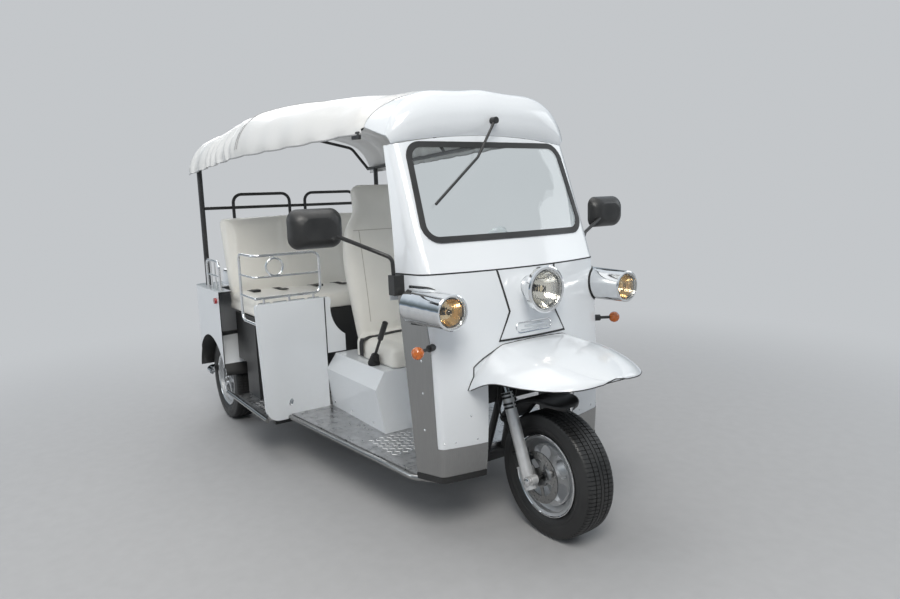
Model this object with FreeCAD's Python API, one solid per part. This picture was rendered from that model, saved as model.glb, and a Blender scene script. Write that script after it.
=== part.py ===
# Auto rickshaw: one steered wheel in front, the driver in the middle of the cab,
# one bench for three across the rear axle, and a canvas roof over both.
# Millimetres, +X forward, +Y to the left, +Z up, origin on the ground under the middle.
import FreeCAD, Part
import math
import os

os.makedirs("parts", exist_ok=True)
V = FreeCAD.Vector

# Overall layout
WHEELBASE = 2570.0
FRONT_OVERHANG = 340.0
REAR_OVERHANG = 340.0
REAR_TRACK = 1200.0
RAKE = 21.0
LEG_OFFSET = 28.0
LENGTH = WHEELBASE + FRONT_OVERHANG + REAR_OVERHANG
X_FRONT = LENGTH / 2 - FRONT_OVERHANG
X_REAR = X_FRONT - WHEELBASE

# Wheels
TYRE_RADIUS = 275.0
TYRE_WIDTH = 155.0
TREAD_WIDTH = 122.0
BEAD_RADIUS = 165.0
BEAD_WIDTH = 118.0
FLANGE_HEIGHT = 13.0
RIM_WALL = 7.0
WELL_DEPTH = 26.0
SPOKES = 5
SPOKE_THICKNESS = 24.0
SPOKE_SETBACK = 12.0
HUB_RADIUS = 42.0
FRONT_AXLE_RADIUS = 10.0
REAR_SPINDLE_RADIUS = 20.0
RUNNING_FIT = 0.05
BODY_GAP = 0.3

# Floor and cowl
FLOOR_TOP = 275.0
FLOOR_THICKNESS = 25.0
PASSENGER_FLOOR_TOP = 280.0
COWL_SEAM = 1160.0
COWL_WALL = 5.0
SEAM_GAP = 6.0
WHEEL_MOUTH = 250.0
MOUTH_TOP = 800.0
HEADER_TOP = 1737.0
HEADER_SIDE = 1692.0
BULKHEAD_X = -1530.0
BULKHEAD_TOP = 920.0
BULKHEAD_WIDTH = 400.0
BULKHEAD_THICKNESS = 28.0
BULKHEAD_OUTER = 762.0
BODY_HALF_WIDTH = 750.0
REAR_BODY_FRONT = -2280.0
REAR_BODY_TOP = 915.0
BODY_WALL = 5.0

# Seats
DRIVER_SEAT_FRONT = -920.0
PEDESTAL_TOP = 585.0
BENCH_FRONT = -1900.0
BENCH_SEAT_TOP = 890.0
BENCH_CUSHION = 105.0
BENCH_HALF_WIDTH = 650.0
BACKREST_TOP = 1400.0

# Roof
CANVAS = 4.0
ROOF_TUBE = 14.0
POST_X = -2755.0
CAP_TAIL = -640.0
POST_Y = 680.0

FLOOR_BOTTOM = FLOOR_TOP - FLOOR_THICKNESS


def fx(distance):
    # a station given from the front axle, negative towards the rear
    return X_FRONT + distance


def box(x0, x1, y0, y1, z0, z1):
    corner = V(min(x0, x1), min(y0, y1), min(z0, z1))
    return Part.makeBox(abs(x1 - x0), abs(y1 - y0), abs(z1 - z0), corner)


def mirrored(shape):
    return shape.mirror(V(0, 0, 0), V(0, 1, 0))


def pair(shape):
    return Part.makeCompound([shape, mirrored(shape)])


def fused(shapes):
    first = shapes[0]
    return first.fuse(shapes[1:]).removeSplitter() if len(shapes) > 1 else first


def polygon(points):
    return Part.Face(Part.makePolygon(points + [points[0]]))


def side_plate(points, y0, y1):
    # a side-view outline of (x, z) points, given in frame millimetres, made y1 - y0 wide
    face = polygon([V(x, y0, z) for x, z in points])
    return face.extrude(V(0, y1 - y0, 0))


def plan_plate(points, z0, z1):
    face = polygon([V(x, y, z0) for x, y in points])
    return face.extrude(V(0, 0, z1 - z0))


def flip(point):
    return V(point.x, -point.y, point.z)


def rod(a, b, radius):
    direction = b.sub(a)
    return Part.makeCylinder(radius, direction.Length, a, direction)


def tube(points, radius, bends):
    # straight rods joined by tangent bends; bends is one radius, or one for each corner
    if not isinstance(bends, (list, tuple)):
        bends = [bends] * (len(points) - 2)
    parts = []
    last = points[0]
    for before, corner, after, bend in zip(points, points[1:], points[2:], bends):
        back = before.sub(corner).normalize()
        ahead = after.sub(corner).normalize()
        half = back.getAngle(ahead) / 2
        reach = bend / math.tan(half)
        start = corner.add(V(back).multiply(reach))
        end = corner.add(V(ahead).multiply(reach))
        inward = back.add(ahead).normalize()
        centre = corner.add(V(inward).multiply(bend / math.sin(half)))
        ring = Part.Face(Part.Wire(Part.makeCircle(radius, start, back)))
        normal = start.sub(centre).cross(end.sub(centre)).normalize()
        if start.sub(last).Length > 0.01:
            parts.append(rod(last, start, radius))
        parts.append(ring.revolve(centre, normal, 180 - 2 * math.degrees(half)))
        last = end
    parts.append(rod(last, points[-1], radius))
    return fused(parts)


def rounded_rectangle(centre, across, up, width, height, corner):
    # a closed wire of four lines and four arcs about centre, in the plane of across and up
    across = V(across).normalize()
    up = V(up).normalize()

    def at(u, v):
        return centre.add(V(across).multiply(u)).add(V(up).multiply(v))

    w = width / 2
    h = height / 2
    c = corner
    k = c * (1 - math.sqrt(0.5))
    edges = []
    for su, sv in ((1, 1), (-1, 1), (-1, -1), (1, -1)):
        if su * sv > 0:
            start, end = at(su * w, sv * (h - c)), at(su * (w - c), sv * h)
            following = at(-su * (w - c), sv * h)
        else:
            start, end = at(su * (w - c), sv * h), at(su * w, sv * (h - c))
            following = at(su * w, -sv * (h - c))
        edges.append(Part.Arc(start, at(su * (w - k), sv * (h - k)), end).toShape())
        edges.append(Part.LineSegment(end, following).toShape())
    return Part.Wire(edges)


def revolved(points, origin, axis, start):
    # outline of (radius, along) points; start is the direction that radius is measured in
    axis = V(axis).normalize()
    start = V(start).normalize()
    corners = []
    for radius, along in points:
        corners.append(origin.add(V(start).multiply(radius)).add(V(axis).multiply(along)))
    return polygon(corners).revolve(origin, axis, 360)


def save(name, shape):
    shape.exportStep("parts/" + name + ".step")


# The body section of the cowl at one height. Columns: height, middle of the front,
# corner x, corner y, corner radius, rear edge x, rear edge y.
LOWER_SECTIONS = (
    (FLOOR_TOP, -150, -200, 452, 34, -322, 500),
    (860, -122, -205, 470, 45, -372, 515),
    (COWL_SEAM, -165, -245, 490, 80, -402, 522),
)
UPPER_SECTIONS = (
    (COWL_SEAM, -165, -245, 490, 80, -402, 522),
    (1300, -252, -292, 492, 78, -418, 517),
    (HEADER_TOP, -433, -458, 478, 60, -505, 499),
)


def section_wire(row, inset, rear_extra):
    height, middle, corner_x, corner_y, radius, rear_x, rear_y = row
    middle = fx(middle) - inset
    corner = V(fx(corner_x) - inset, corner_y - inset, height)
    rear = V(fx(rear_x), rear_y - inset, height)
    radius = max(radius - inset, 8)
    back = rear.sub(corner).normalize()
    rear = rear.add(V(back).multiply(rear_extra))
    bow = middle - corner.x
    arc_radius = (corner.y ** 2 + bow ** 2) / (2 * bow)
    slope = math.asin(corner.y / arc_radius)
    ahead = V(math.sin(slope), -math.cos(slope), 0)
    half = back.getAngle(ahead) / 2
    reach = radius / math.tan(half)
    turn = slope - reach / arc_radius
    on_side = corner.add(V(back).multiply(reach))
    on_front = V(middle - arc_radius + arc_radius * math.cos(turn), arc_radius * math.sin(turn), height)
    inward = back.add(ahead).normalize()
    top = corner.add(V(inward).multiply(radius / math.sin(half) - radius))

    edges = [
        Part.LineSegment(rear, on_side).toShape(),
        Part.Arc(on_side, top, on_front).toShape(),
        Part.Arc(on_front, V(middle, 0, height), flip(on_front)).toShape(),
        Part.Arc(flip(on_front), flip(top), flip(on_side)).toShape(),
        Part.LineSegment(flip(on_side), flip(rear)).toShape(),
        Part.LineSegment(flip(rear), rear).toShape(),
    ]
    return Part.Wire(edges)


def cowl_form(rows, inset, rear_extra=0.0):
    return Part.makeLoft([section_wire(row, inset, rear_extra) for row in rows], True, False)


def cowl_skin(rows, outer, inner):
    # the layer of the cowl between two depths below its outer face
    return cowl_form(rows, outer).cut(cowl_form(rows, inner, 60.0))


def nose_outline(grow):
    # the kinked outline of the middle nose panel, from above
    half = ((COWL_SEAM + 5, 160), (COWL_SEAM - 180, 120), (NOSE_BOTTOM, 182))
    right = [V(0, -(y + grow), z) for z, y in half]
    left = [V(0, y + grow, z) for z, y in reversed(half)]
    right[-1].z -= grow
    left[0].z -= grow
    face = polygon(right + left)
    face.translate(V(fx(0), 0, 0))
    return face.extrude(V(-300, 0, 0))


# Lower cowl, its nose panel, the black rubber in the joints and the lamps on it
NOSE_BOTTOM = 866.0
RUBBER = 4.0
NOSE_RUBBER = 8.0
FOOT_RUBBER = 28.0
FOOT_RUBBER_DEPTH = 4.0
HEADLAMP_X = -40.0
HEADLAMP_Z = 1071.0
HEADLAMP_RADIUS = 101.0
HEADLAMP_LENS = 86.0
HEADLAMP_DEPTH = 120.0
HEADLAMP_NECK = 50.0
HEADLAMP_HOLE = 51.0
POD_X = -32.0
POD_Y = 490.0
POD_Z = 1033.0
POD_FRONT_RADIUS = 70.0
POD_REAR_RADIUS = 77.0
POD_LENGTH = 285.0
LENS_THICKNESS = 4.0


def lamp_axis(x, y, z):
    return V(fx(x), y, z)


def headlamp_shell():
    # a bowl that narrows behind its rim to a neck through the nose panel
    r = HEADLAMP_RADIUS
    depth = HEADLAMP_DEPTH
    outline = [
        (0, -depth), (HEADLAMP_NECK, -depth), (HEADLAMP_NECK, -84), (r - 36, -74), (r - 23, -60),
        (r - 13, -42), (r - 8, -26), (r, -22), (r, -4), (r - 6, 0),
        (HEADLAMP_LENS + BODY_GAP, 0), (HEADLAMP_LENS + BODY_GAP, -12),
        (HEADLAMP_LENS - 8, -12), (44, -58), (0, -68),
    ]
    return revolved(outline, lamp_axis(HEADLAMP_X, 0, HEADLAMP_Z), V(1, 0, 0), V(0, 0, 1))


def lens(origin, radius, dome):
    # a clear cover: a shallow dome of one thickness with a short rim
    t = LENS_THICKNESS
    outline = [
        (0, dome), (radius * 0.5, dome * 0.76), (radius * 0.85, dome * 0.3), (radius, -2), (radius, -11.5),
        (radius - t, -11.5), (radius - t, -2), (radius * 0.82, dome * 0.3 - t),
        (radius * 0.5, dome * 0.76 - t), (0, dome - t),
    ]
    return revolved(outline, origin, V(1, 0, 0), V(0, 0, 1))


def lamp_pod():
    a = POD_FRONT_RADIUS
    b = POD_REAR_RADIUS
    length = POD_LENGTH
    outline = [
        (0, -length), (b - 12, -length), (b, -length + 12), (a + 2, -16), (a + 2, -3), (a - 2, 0),
        (a - 7, 0), (a - 7, -12), (a - 14, -12), (34, -58), (0, -66),
    ]
    return revolved(outline, lamp_axis(POD_X, POD_Y, POD_Z), V(1, 0, 0), V(0, 0, 1))


def pod_hole(clearance):
    start = lamp_axis(POD_X, POD_Y, POD_Z)
    slope = (POD_REAR_RADIUS - POD_FRONT_RADIUS) / POD_LENGTH
    length = POD_LENGTH + clearance
    front = POD_FRONT_RADIUS + clearance + 2
    return Part.makeCone(front, front + slope * length, length, start, V(-1, 0, 0))


def mouth(grow):
    # the wheel opening in the front of the cowl, with rounded upper corners
    half = WHEEL_MOUTH + grow
    top = MOUTH_TOP + grow
    centre = V(fx(50), 0, top - 400)
    face = Part.Face(rounded_rectangle(centre, V(0, 1, 0), V(0, 0, 1), 2 * half, 800, 80))
    lower = box(fx(50), fx(-360), -half, half, FLOOR_BOTTOM - 50, top - 400)
    return face.extrude(V(-410, 0, 0)).fuse(lower)


def lower_cowl():
    skin = cowl_skin(LOWER_SECTIONS, 0, COWL_WALL)
    skin = skin.cut(mouth(0)).cut(nose_outline(NOSE_RUBBER))
    skin = skin.cut(pod_hole(RUBBER + BODY_GAP)).cut(mirrored(pod_hole(RUBBER + BODY_GAP)))
    top = box(fx(-600), fx(100), -700, 700, COWL_SEAM - SEAM_GAP / 2, COWL_SEAM + 50)
    return skin.cut(top)


def nose_panel():
    skin = cowl_skin(LOWER_SECTIONS, 0, COWL_WALL).common(nose_outline(0))
    top = box(fx(-600), fx(100), -700, 700, COWL_SEAM - SEAM_GAP / 2, COWL_SEAM + 50)
    hole = rod(V(fx(-300), 0, HEADLAMP_Z), V(fx(50), 0, HEADLAMP_Z), HEADLAMP_HOLE)
    return skin.cut(top).cut(hole)


def body_seals():
    frame = cowl_skin(LOWER_SECTIONS, -2.5, COWL_WALL)
    outline = frame.common(nose_outline(NOSE_RUBBER).cut(nose_outline(0)))
    low = COWL_SEAM - SEAM_GAP / 2
    high = COWL_SEAM + SEAM_GAP / 2
    seam_low = (low,) + LOWER_SECTIONS[2][1:]
    seam_high = (high,) + LOWER_SECTIONS[2][1:]
    outline = outline.cut(box(fx(-600), fx(100), -700, 700, low, high + 50))
    seam = cowl_skin((seam_low, seam_high), -1, COWL_WALL)
    ring = cowl_skin(LOWER_SECTIONS, -3, COWL_WALL)
    near = ring.common(pod_hole(RUBBER + BODY_GAP).cut(pod_hole(BODY_GAP)))
    low_edge = cowl_skin(LOWER_SECTIONS, -FOOT_RUBBER_DEPTH, -BODY_GAP)
    foot = low_edge.common(box(fx(-600), fx(100), -700, -WHEEL_MOUTH - 2, FLOOR_TOP + BODY_GAP,
                               FLOOR_TOP + FOOT_RUBBER))
    return fused([outline, seam]), pair(near), pair(foot)


# Upper cowl: the screen surround and its two pillars
SCREEN_LOW_HALF = 446.0
SCREEN_HIGH_HALF = 428.0
SCREEN_LOW = 1290.0
SCREEN_HIGH = 1700.0
SCREEN_CORNER = 70.0
GLASS = 5.0
GASKET_WIDTH = 26.0
GASKET_OVERLAP = 8.0
GASKET_LIP = 5.0
GASKET_SEAT = 1.0


def screen_prism(grow):
    # the screen outline, narrower at the top, cut straight through along X
    low = SCREEN_LOW - grow
    high = SCREEN_HIGH + grow
    half_low = SCREEN_LOW_HALF + grow
    half_high = SCREEN_HIGH_HALF + grow
    corners = [V(0, -half_low, low), V(0, half_low, low), V(0, half_high, high), V(0, -half_high, high)]
    radius = SCREEN_CORNER + grow
    path = []
    for i in range(4):
        before, corner, after = corners[i - 1], corners[i], corners[(i + 1) % 4]
        back = before.sub(corner).normalize()
        ahead = after.sub(corner).normalize()
        half = back.getAngle(ahead) / 2
        reach = radius / math.tan(half)
        inward = back.add(ahead).normalize()
        path.append((
            corner.add(V(back).multiply(reach)),
            corner.add(V(inward).multiply(radius / math.sin(half) - radius)),
            corner.add(V(ahead).multiply(reach)),
        ))
    edges = []
    for i in range(4):
        start, top, end = path[i]
        edges.append(Part.Arc(start, top, end).toShape())
        edges.append(Part.LineSegment(end, path[(i + 1) % 4][0]).toShape())
    face = Part.Face(Part.Wire(edges))
    face.translate(V(fx(0), 0, 0))
    return face.extrude(V(-650, 0, 0))


def upper_cowl():
    skin = cowl_skin(UPPER_SECTIONS, 0, COWL_WALL)
    low = box(fx(-700), fx(100), -700, 700, COWL_SEAM - 50, COWL_SEAM + SEAM_GAP / 2)
    # the top edge is arched, lower at the pillars
    half = 500
    back = fx(-700)
    outside = half + 200
    above = 1900
    edges = [
        Part.Arc(V(back, -half, HEADER_SIDE), V(back, 0, HEADER_TOP - 1), V(back, half, HEADER_SIDE)).toShape(),
        Part.LineSegment(V(back, half, HEADER_SIDE), V(back, outside, HEADER_SIDE)).toShape(),
        Part.LineSegment(V(back, outside, HEADER_SIDE), V(back, outside, above)).toShape(),
        Part.LineSegment(V(back, outside, above), V(back, -outside, above)).toShape(),
        Part.LineSegment(V(fx(-700), -half - 200, 1900), V(fx(-700), -half - 200, HEADER_SIDE)).toShape(),
        Part.LineSegment(V(fx(-700), -half - 200, HEADER_SIDE), V(fx(-700), -half, HEADER_SIDE)).toShape(),
    ]
    above = Part.Face(Part.Wire(edges)).extrude(V(800, 0, 0))
    return skin.cut(screen_prism(0)).cut(low).cut(above)


def windscreen():
    glass = cowl_skin(UPPER_SECTIONS, 0, GLASS)
    return glass.common(screen_prism(-5))


def windscreen_gasket():
    ring = screen_prism(GASKET_OVERLAP).cut(screen_prism(GASKET_OVERLAP - GASKET_WIDTH))
    return cowl_skin(UPPER_SECTIONS, -GASKET_LIP, -GASKET_SEAT).common(ring)



# Front fender: a broad bill over the wheel, arched across and tucked in at the lip.
# Columns: x from the front axle, half width, height of the side edge,
# shoulder y, shoulder height, crown height.
FENDER_WALL = 4.0
FENDER_ARCHES = (
    (-225, 356, 640, 172, 848, 855),
    (-160, 342, 666, 172, 847, 854),
    (-90, 340, 700, 172, 842, 851),
    (-20, 340, 728, 170, 835, 846),
    (50, 333, 740, 163, 828, 840),
    (120, 316, 740, 150, 819, 832),
    (180, 293, 740, 134, 806, 818),
    (240, 257, 740, 112, 790, 801),
    (285, 211, 741, 90, 777, 787),
    (315, 160, 744, 66, 767, 776),
    (332, 104, 749, 42, 762, 769),
    (339, 56, 753, 22, 760, 765),
)
# the lower edge in side view, from the tip back to the cowl
FENDER_EDGE = (
    (334, 748), (318, 742), (250, 738), (150, 739), (50, 739),
    (-20, 727), (-90, 699), (-160, 667), (-260, 618),
)
FENDER_TIP = 759.0


def fender_wire(row, inset):
    x, half, side_z, shoulder_y, shoulder_z, crown = row
    x = min(fx(x), fx(FRONT_OVERHANG) - inset)
    half = half - inset
    a, b = V(x, -half, 600), V(x, -half, side_z)
    c = V(x, -shoulder_y, shoulder_z - inset)
    # the flank bulges out of its chord by a tenth of the chord's length
    bulge = V(x, -(half + shoulder_y) / 2 - 0.1 * (shoulder_z - side_z),
              (side_z + shoulder_z - inset) / 2 + 0.1 * (half - shoulder_y))

    edges = [
        Part.LineSegment(a, b).toShape(),
        Part.Arc(b, bulge, c).toShape(),
        Part.Arc(c, V(x, 0, crown - inset), flip(c)).toShape(),
        Part.Arc(flip(c), flip(bulge), flip(b)).toShape(),
        Part.LineSegment(flip(b), flip(a)).toShape(),
        Part.LineSegment(flip(a), a).toShape(),
    ]
    return Part.Wire(edges)


def fender_profile(inset):
    # the side view that trims the lip and, on the outside, the swept lower edge
    tip = fx(FRONT_OVERHANG) - inset
    rear = fx(FENDER_EDGE[-1][0])
    y = -600
    if inset:
        outline = [(tip, 950), (tip, 600), (rear, 600), (rear, 950)]
        return polygon([V(x, y, z) for x, z in outline]).extrude(V(0, 1200, 0))
    edge = Part.BSplineCurve()
    edge.interpolate([V(tip, y, FENDER_TIP)] + [V(fx(x), y, z) for x, z in FENDER_EDGE])
    edges = [
        Part.LineSegment(V(rear, y, 950), V(tip, y, 950)).toShape(),
        Part.LineSegment(V(tip, y, 950), V(tip, y, FENDER_TIP)).toShape(),
        edge.toShape(),
        Part.LineSegment(V(rear, y, FENDER_EDGE[-1][1]), V(rear, y, 950)).toShape(),
    ]
    return Part.Face(Part.Wire(edges)).extrude(V(0, 1200, 0))


def fender_form(inset):
    arches = Part.makeLoft([fender_wire(row, inset) for row in FENDER_ARCHES], True, False)
    return arches.common(fender_profile(inset))


def front_fender():
    shell = fender_form(0).cut(fender_form(FENDER_WALL))
    return shell.cut(cowl_form(LOWER_SECTIONS, -BODY_GAP, 60.0))



# Stainless strips: up the rear edges of the cowl and round its foot
STRIP = 1.5
STRIP_SEAT = 0.5
STRIP_TOP = 1070.0
STRIP_FRONT_TOP = -252.0
STRIP_FRONT_MIDDLE = -222.0
STRIP_FRONT_FOOT = -212.0
KICK_TOP = 428.0


def steel_strips():
    skin = cowl_skin(LOWER_SECTIONS, -STRIP - STRIP_SEAT, -STRIP_SEAT)
    low = FLOOR_TOP + FOOT_RUBBER + 1
    upright = side_plate([(fx(-600), low), (fx(-600), STRIP_TOP), (fx(STRIP_FRONT_TOP), STRIP_TOP),
                          (fx(STRIP_FRONT_MIDDLE), 860), (fx(STRIP_FRONT_FOOT), low)], -700, -440)
    foot = box(fx(-600), fx(100), -700, -WHEEL_MOUTH - 2, low, KICK_TOP)
    round_the_pod = mirrored(pod_hole(RUBBER + BODY_GAP + 1))
    round_the_stalk = rod(*signal_line(), SIGNAL_CUP + 2)
    area = upright.fuse(foot).cut([round_the_pod, round_the_stalk])
    return Part.makeCompound([skin.common(area), skin.common(mirrored(area))])


# Steering axis: through a point level with the axle, leaning back by the rake
AXIS_FOOT = V(fx(-LEG_OFFSET), 0, TYRE_RADIUS)
AXIS = V(-math.sin(math.radians(RAKE)), 0, math.cos(math.radians(RAKE)))


def along(distance, y=0.0):
    return AXIS_FOOT.add(V(AXIS).multiply(distance)).add(V(0, y, 0))


LEG_Y = 132.0
SLIDER_RADIUS = 26.0
SLIDER_TOP = 372.0
STANCHION_RADIUS = 14.0
CROWN_LOW = 440.0
CROWN_HIGH = 475.0
CROWN_HALF_DEPTH = 32.0
STEM_RADIUS = 15.0
HEAD_TUBE_RADIUS = 30.0
HEAD_LOW = 482.0
HEAD_HIGH = 660.0
COLUMN_TOP = 985.0
DISC_RADIUS = 112.0
DISC_Y = -92.0
DISC_THICKNESS = 4.5
GUARD_INNER = 335.0
GUARD_WALL = 3.0
GUARD_HALF_WIDTH = 94.0
GUARD_LIP = 14.0
GUARD_FRONT_ANGLE = 73.0
GUARD_REAR_ANGLE = 148.0


def steering_frame(shape):
    # turns a shape modelled upright about the axis foot to the raked axis
    shape.rotate(AXIS_FOOT, V(0, 1, 0), -RAKE)
    return shape


def front_fork():
    parts = []
    for side in (-1, 1):
        y = side * LEG_Y
        parts.append(rod(along(-48, y), along(SLIDER_TOP, y), SLIDER_RADIUS))
        for low in (SLIDER_TOP - 72, SLIDER_TOP - 56, SLIDER_TOP - 28, SLIDER_TOP - 12):
            parts.append(rod(along(low, y), along(low + 9, y), SLIDER_RADIUS + 2.5))
        parts.append(rod(along(SLIDER_TOP - 10, y), along(CROWN_HIGH, y), STANCHION_RADIUS))
        # the axle clamp in front of the slider foot
        parts.append(rod(V(fx(0), y - side * 17, TYRE_RADIUS), V(fx(0), y + side * 17, TYRE_RADIUS), 21))
        # the tab that carries the mudguard
        inner = side * (GUARD_HALF_WIDTH + BODY_GAP)
        parts.append(rod(along(GUARD_INNER, inner), along(GUARD_INNER, y), 9))
    crown = box(AXIS_FOOT.x - CROWN_HALF_DEPTH, AXIS_FOOT.x + CROWN_HALF_DEPTH, -LEG_Y - 26, LEG_Y + 26,
                AXIS_FOOT.z + CROWN_LOW, AXIS_FOOT.z + CROWN_HIGH)
    crown = crown.makeFillet(18, [e for e in crown.Edges if abs(e.BoundBox.ZLength) > 20])
    parts.append(steering_frame(crown))
    parts.append(rod(along(CROWN_HIGH - 5), along(COLUMN_TOP), STEM_RADIUS))
    axle_half = LEG_Y + 35
    parts.append(rod(V(fx(0), -axle_half, TYRE_RADIUS), V(fx(0), axle_half, TYRE_RADIUS), FRONT_AXLE_RADIUS))
    # brake caliper behind the right slider, over the disc
    caliper = box(AXIS_FOOT.x - 92, AXIS_FOOT.x - 28, DISC_Y - 24, DISC_Y + 22,
                  AXIS_FOOT.z + 40, AXIS_FOOT.z + 118)
    ear = box(AXIS_FOOT.x - 60, AXIS_FOOT.x - 5, -LEG_Y - 6, DISC_Y - 20, AXIS_FOOT.z + 50, AXIS_FOOT.z + 108)
    clear = Part.makeCylinder(DISC_RADIUS + 5, 2 * DISC_THICKNESS + 2,
                              V(fx(0), DISC_Y - DISC_THICKNESS - 1, TYRE_RADIUS), V(0, 1, 0))
    caliper = steering_frame(caliper.fuse(ear)).cut(clear)
    parts.append(caliper)
    return fused(parts)


def front_mudguard():
    axle = V(fx(0), 0, TYRE_RADIUS)
    inner, w, half, lip = GUARD_INNER, GUARD_WALL, GUARD_HALF_WIDTH, GUARD_LIP
    section = [(inner - lip, -half), (inner + w, -half), (inner + w, half), (inner - lip, half),
               (inner - lip, half - w), (inner, half - w), (inner, w - half), (inner - lip, w - half)]
    face = polygon([V(axle.x + r, y, axle.z) for r, y in section])
    face.rotate(axle, V(0, -1, 0), GUARD_FRONT_ANGLE)
    return face.revolve(axle, V(0, -1, 0), GUARD_REAR_ANGLE - GUARD_FRONT_ANGLE)


GRIP_RADIUS = 15.0
BAR_RADIUS = 11.0
GAUGE_RADIUS = 58.0


def handlebar():
    top = along(COLUMN_TOP)
    side = [
        V(top.x, 0, top.z + 12), V(top.x - 5, -95, top.z + 12), V(top.x - 60, -190, top.z + 22),
        V(top.x - 195, -335, top.z - 6),
    ]
    bar = tube([flip(p) for p in reversed(side[1:])] + side[1:], BAR_RADIUS, 45)
    parts = [bar]
    for sign in (-1, 1):
        end = V(side[3].x, sign * 335, side[3].z)
        inner = V(side[2].x, sign * 190, side[2].z)
        run = end.sub(inner).normalize()
        grip_start = end.sub(V(run).multiply(118))
        parts.append(rod(grip_start, end.add(V(run).multiply(2)), GRIP_RADIUS))
        perch = end.sub(V(run).multiply(135))
        parts.append(rod(perch, perch.add(V(24, sign * 14, 4)), 9))
        lever_root = perch.add(V(22, sign * 13, 4))
        parts.append(rod(lever_root, lever_root.add(V(-62, sign * 122, -14)), 5.5))
    clamp = Part.makeCylinder(27, 44, V(top.x, 0, top.z - 12), V(0, 0, 1))
    parts.append(clamp)
    return fused(parts).cut(rod(along(COLUMN_TOP - 100), along(COLUMN_TOP), STEM_RADIUS))


def gauge():
    # round white housing on the bar clamp, dial towards the driver
    base = along(COLUMN_TOP).add(V(0, 0, 32))
    lean = V(-math.sin(math.radians(50)), 0, math.cos(math.radians(50)))
    centre = base.add(V(0, 0, GAUGE_RADIUS - 6))
    outline = [(0, -40), (GAUGE_RADIUS - 16, -34), (GAUGE_RADIUS, -6), (GAUGE_RADIUS, 8), (GAUGE_RADIUS - 5, 12),
               (GAUGE_RADIUS - 8, 6), (0, 6)]
    pod = revolved(outline, centre, lean, V(0, 1, 0))
    neck = rod(base, centre.add(V(0, 0, -20)), 15)
    return pod.fuse(neck)


# Wheels: a tyre on a cast five-spoke rim
def tyre(centre_y, x):
    r = TYRE_RADIUS
    half = TYRE_WIDTH / 2
    tread = TREAD_WIDTH / 2
    bead = BEAD_WIDTH / 2
    base = BEAD_RADIUS + BODY_GAP

    def at(radius, y):
        return V(x, centre_y + y, TYRE_RADIUS + radius)

    mid = (r + base) / 2
    points_mid = ((tread + half) / 2 + 4, r - 13)
    edges = [
        Part.Arc(at(r - 3, -tread), at(r, 0), at(r - 3, tread)).toShape(),
        Part.Arc(at(r - 3, tread), at(points_mid[1], points_mid[0]), at(r - 34, half - 3)).toShape(),
        Part.Arc(at(r - 34, half - 3), at(mid, half), at(base + 18, bead)).toShape(),
        Part.LineSegment(at(base + 18, bead), at(base, bead)).toShape(),
        Part.LineSegment(at(base, bead), at(base, bead - 14)).toShape(),
        Part.LineSegment(at(base, bead - 14), at(base + 18, bead - 12)).toShape(),
        Part.Arc(at(base + 18, bead - 12), at(mid, half - 10), at(r - 30, tread - 6)).toShape(),
        Part.Arc(at(r - 30, tread - 6), at(r - 12, 0), at(r - 30, 6 - tread)).toShape(),
        Part.Arc(at(r - 30, 6 - tread), at(mid, 10 - half), at(base + 18, 12 - bead)).toShape(),
        Part.LineSegment(at(base + 18, 12 - bead), at(base, 14 - bead)).toShape(),
        Part.LineSegment(at(base, 14 - bead), at(base, -bead)).toShape(),
        Part.LineSegment(at(base, -bead), at(base + 18, -bead)).toShape(),
        Part.Arc(at(base + 18, -bead), at(mid, -half), at(r - 34, 3 - half)).toShape(),
        Part.Arc(at(r - 34, 3 - half), at(points_mid[1], -points_mid[0]), at(r - 3, -tread)).toShape(),
    ]
    face = Part.Face(Part.Wire(edges))
    return face.revolve(V(x, centre_y, TYRE_RADIUS), V(0, 1, 0), 360)


def rim(x, centre_y, outward, hub_in, hub_out, bore):
    # outward is +1 or -1: the side that the spokes lie near
    bead = BEAD_WIDTH / 2
    b = BEAD_RADIUS
    well = b - WELL_DEPTH
    w = RIM_WALL
    lip = b + FLANGE_HEIGHT
    step = bead + 1.0
    outer = [
        (lip, step + 8), (lip, step + 1), (b + 3, step), (b, step - 1), (b, bead - 20), (well, bead - 36),
        (well, 36 - bead), (b, 20 - bead), (b, 1 - step), (b + 3, -step), (lip, -step - 1), (lip, -step - 8),
        (b - w + 4, -step - 2), (b - w, 14 - bead), (well - w, 32 - bead), (well - w, bead - 32),
        (b - w, bead - 14), (b - w + 4, step + 2),
    ]
    origin = V(x, centre_y, TYRE_RADIUS)
    barrel = revolved(outer, origin, V(0, 1, 0), V(0, 0, 1))
    face = outward * (bead - SPOKE_SETBACK)
    back = face - outward * SPOKE_THICKNESS
    plate_low = min(face, back)
    plate_centre = V(x, centre_y + plate_low, TYRE_RADIUS)
    plate = Part.makeCylinder(well - w + 2, SPOKE_THICKNESS, plate_centre, V(0, 1, 0))
    hole_radius = (well - w) * 0.30
    ring = (well - w) * 0.66
    for i in range(SPOKES):
        angle = 2 * math.pi * (i + 0.5) / SPOKES
        shapes = []
        for spread, radius, size in ((0.0, ring, hole_radius), (0.24, ring + 14, hole_radius * 0.72),
                                     (-0.24, ring + 14, hole_radius * 0.72)):
            cx = x + radius * math.cos(angle + spread)
            cz = TYRE_RADIUS + radius * math.sin(angle + spread)
            shapes.append(Part.makeCylinder(size, 60, V(cx, centre_y + plate_low - 10, cz), V(0, 1, 0)))
        plate = plate.cut(fused(shapes))
    low, high = sorted((hub_in, hub_out))
    hub = Part.makeCylinder(HUB_RADIUS, high - low, V(x, centre_y + low, TYRE_RADIUS), V(0, 1, 0))
    wheel = fused([barrel, plate, hub])
    hole = Part.makeCylinder(bore, 400, V(x, centre_y - 200, TYRE_RADIUS), V(0, 1, 0))
    return wheel.cut(hole)


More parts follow.
